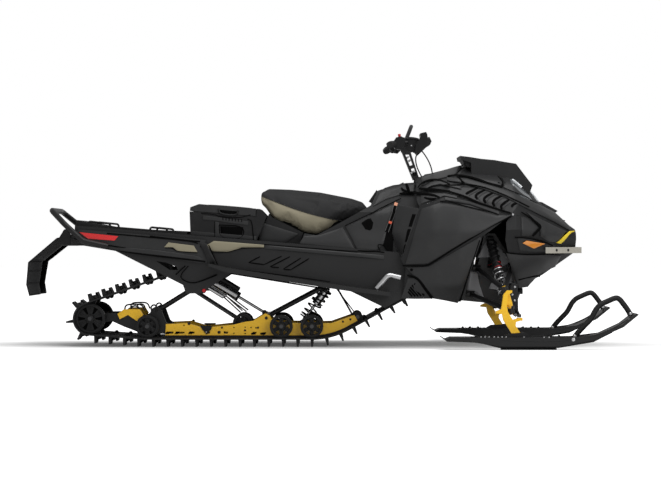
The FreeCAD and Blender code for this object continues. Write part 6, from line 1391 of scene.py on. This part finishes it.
ribParts = [lathe(b["rib"], gripEnd + gripWay * (firstRib + ribReach * k / b["ribCount"]), gripWay, 28)
            for k in range(b["ribCount"])]
addPair("gripRibs", ribParts, finishes["grip_rubber"], "steering")
gauge = dict(body=[(417.4, 155.7), (426.4, 147.2), (429.6, 145.2), (431.1, 141.7), (428.8, 137.2), (427.2, 138),
                   (426.8, 134.9), (425.6, 132.4), (422.6, 133.1), (419.5, 133.9), (420, 137.4), (417.6, 141.4),
                   (414.9, 145.4), (414.6, 152.6)], width=0.13,
             screen=[(414.3, 151.4), (414.4, 145.6), (417, 141.4), (418.4, 142), (416, 146), (416, 151.4)],
             screenWidth=0.1, postBolts=[(411.4, 173), (409.6, 160.4), (413.6, 171.4), (408, 157)], postSide=0.0312,
             postBoltSize=(0.006, 0.004, 12))
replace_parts(addPiece("gaugeBody", [slab(gauge["body"], 0.0, gauge["width"])], [finishes["display_plastic"]], "steering",
                     bevel=rounding["soft"]), "display")
addPiece("gaugeScreen", [slab(gauge["screen"], 0.0, gauge["screenWidth"])], [finishes["grip_rubber"]], "steering",
         bevel=rounding["small"])
addPair("postBolts", [heads(gauge["postBolts"], flatWall(gauge["postSide"]), *gauge["postBoltSize"])], silverTube,
        "steering")
# the two control cables: they hang from the gauge to the hood
cables = dict(near=[(417.4, 153.6), (415.6, 157), (415.8, 163), (418, 170), (421.8, 177)],
              far=[(421.6, 150.6), (425, 155), (428.6, 161), (431.4, 168), (432.6, 175)], side=0.018, radius=0.0035,
              low=(0.515, 0.0, 0.915), high=(0.475, 0.0, 1.03))
cableParts = []
for line, lateral in ((cables["near"], -cables["side"]), (cables["far"], cables["side"])):
    cableX, cableZ = photoPoint(*roundOff(line).T, lateral)
    cableParts.append(sweep(np.stack([cableX, np.full(len(cableX), lateral), cableZ], -1), cables["radius"], 10))
cablePiece = addPiece("controlCables", cableParts, [finishes["cable_rubber"]], None)
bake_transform(cablePiece)
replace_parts(cablePiece, "control_cables")
print("steering dressed")


# skis: rubbing lines, studs and tail plates, the steel loops, and their bolts

skis = dict(lateral=0.535, half=0.086, deck=0.0655,
            line=[(500, 340), (530, 341.6), (560, 341.4), (590, 337.4), (612, 329.6), (628, 319.6)], lineRadius=0.0032,
            lineSink=0.002,
            bumps=[(476.9, 337), (485.2, 337), (494, 337), (543.8, 336.8), (552.7, 336.8), (560.7, 336.8)],
            bumpIn=0.006, bumpSize=(0.0065, 0.008, 12),
            loop=[(574.4, 338.4), (575.8, 335), (583, 327), (590.6, 319.6), (593.8, 313.6), (596.3, 308.8),
                  (600.8, 304.2), (608, 301), (615.4, 297.7), (619.2, 298.6), (623.6, 304.2), (628, 310.2),
                  (630.6, 315.4)], loopRadius=0.0142,
            tail=[(450, 338.6), (446.4, 339.2), (443.2, 337.8), (440.2, 335.6), (439.8, 336.3), (443, 338.8),
                  (446.4, 340.3), (450, 340.1)], tailWidth=0.09,
            sideBolts=[(573.4, 339.6)], sideSize=(0.009, 0.0013, 12),
            rivets=[(481, 337), (485, 337), (489, 337), (494, 337), (498, 337), (502, 337), (506, 337), (524, 337),
                    (544, 337.2), (549, 337.4)], rivetSize=(0.0028, 0.001, 8),
            bolts=[(574.6, 336.2), (630.2, 313.8)], boltSize=(0.0085, 0.006, 12))
outer, inner = skis["lateral"] + skis["half"], skis["lateral"] - skis["half"]
wide, edge = flatWall(skis["lateral"]), flatWall(outer)
trim = [bead(skis["line"], edge, skis["lineRadius"], lift=-skis["lineSink"]),
        slab(skis["tail"], -skis["lateral"], skis["tailWidth"])]
for y in (outer - skis["bumpIn"], inner + skis["bumpIn"]):
    tops = sidePoints(skis["bumps"], wide)
    tops[:, 1:] = -y, skis["deck"]
    trim.append(studs(tops, (0, 0, 1), *skis["bumpSize"]))
loop = [sweep(sideLine(skis["loop"], wide), skis["loopRadius"], 14)]
bolts = [heads(skis["sideBolts"], edge, *skis["sideSize"]), heads(skis["rivets"], edge, *skis["rivetSize"])]
for way in (-1, 1):
    spots = sidePoints(skis["bolts"], wide)
    spots[:, 1] = -skis["lateral"] + way * skis["loopRadius"]
    bolts.append(studs(spots, (0, way, 0), *skis["boltSize"]))
for hand, word in enumerate(("right", "left")):
    trimParts, loopParts, boltParts = ([twoSided(part)[hand] for part in parts] for parts in (trim, loop, bolts))
    body, ending = f"ski_{word}_body", word.capitalize()
    addPiece(f"skiTrim{ending}", trimParts, [black], body)
    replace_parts(addPiece(f"skiLoop{ending}", loopParts, [skiBlack], body), f"ski_loop_{word}")
    addPiece(f"skiBolts{ending}", boltParts, [silverTube], body)
print("skis dressed")
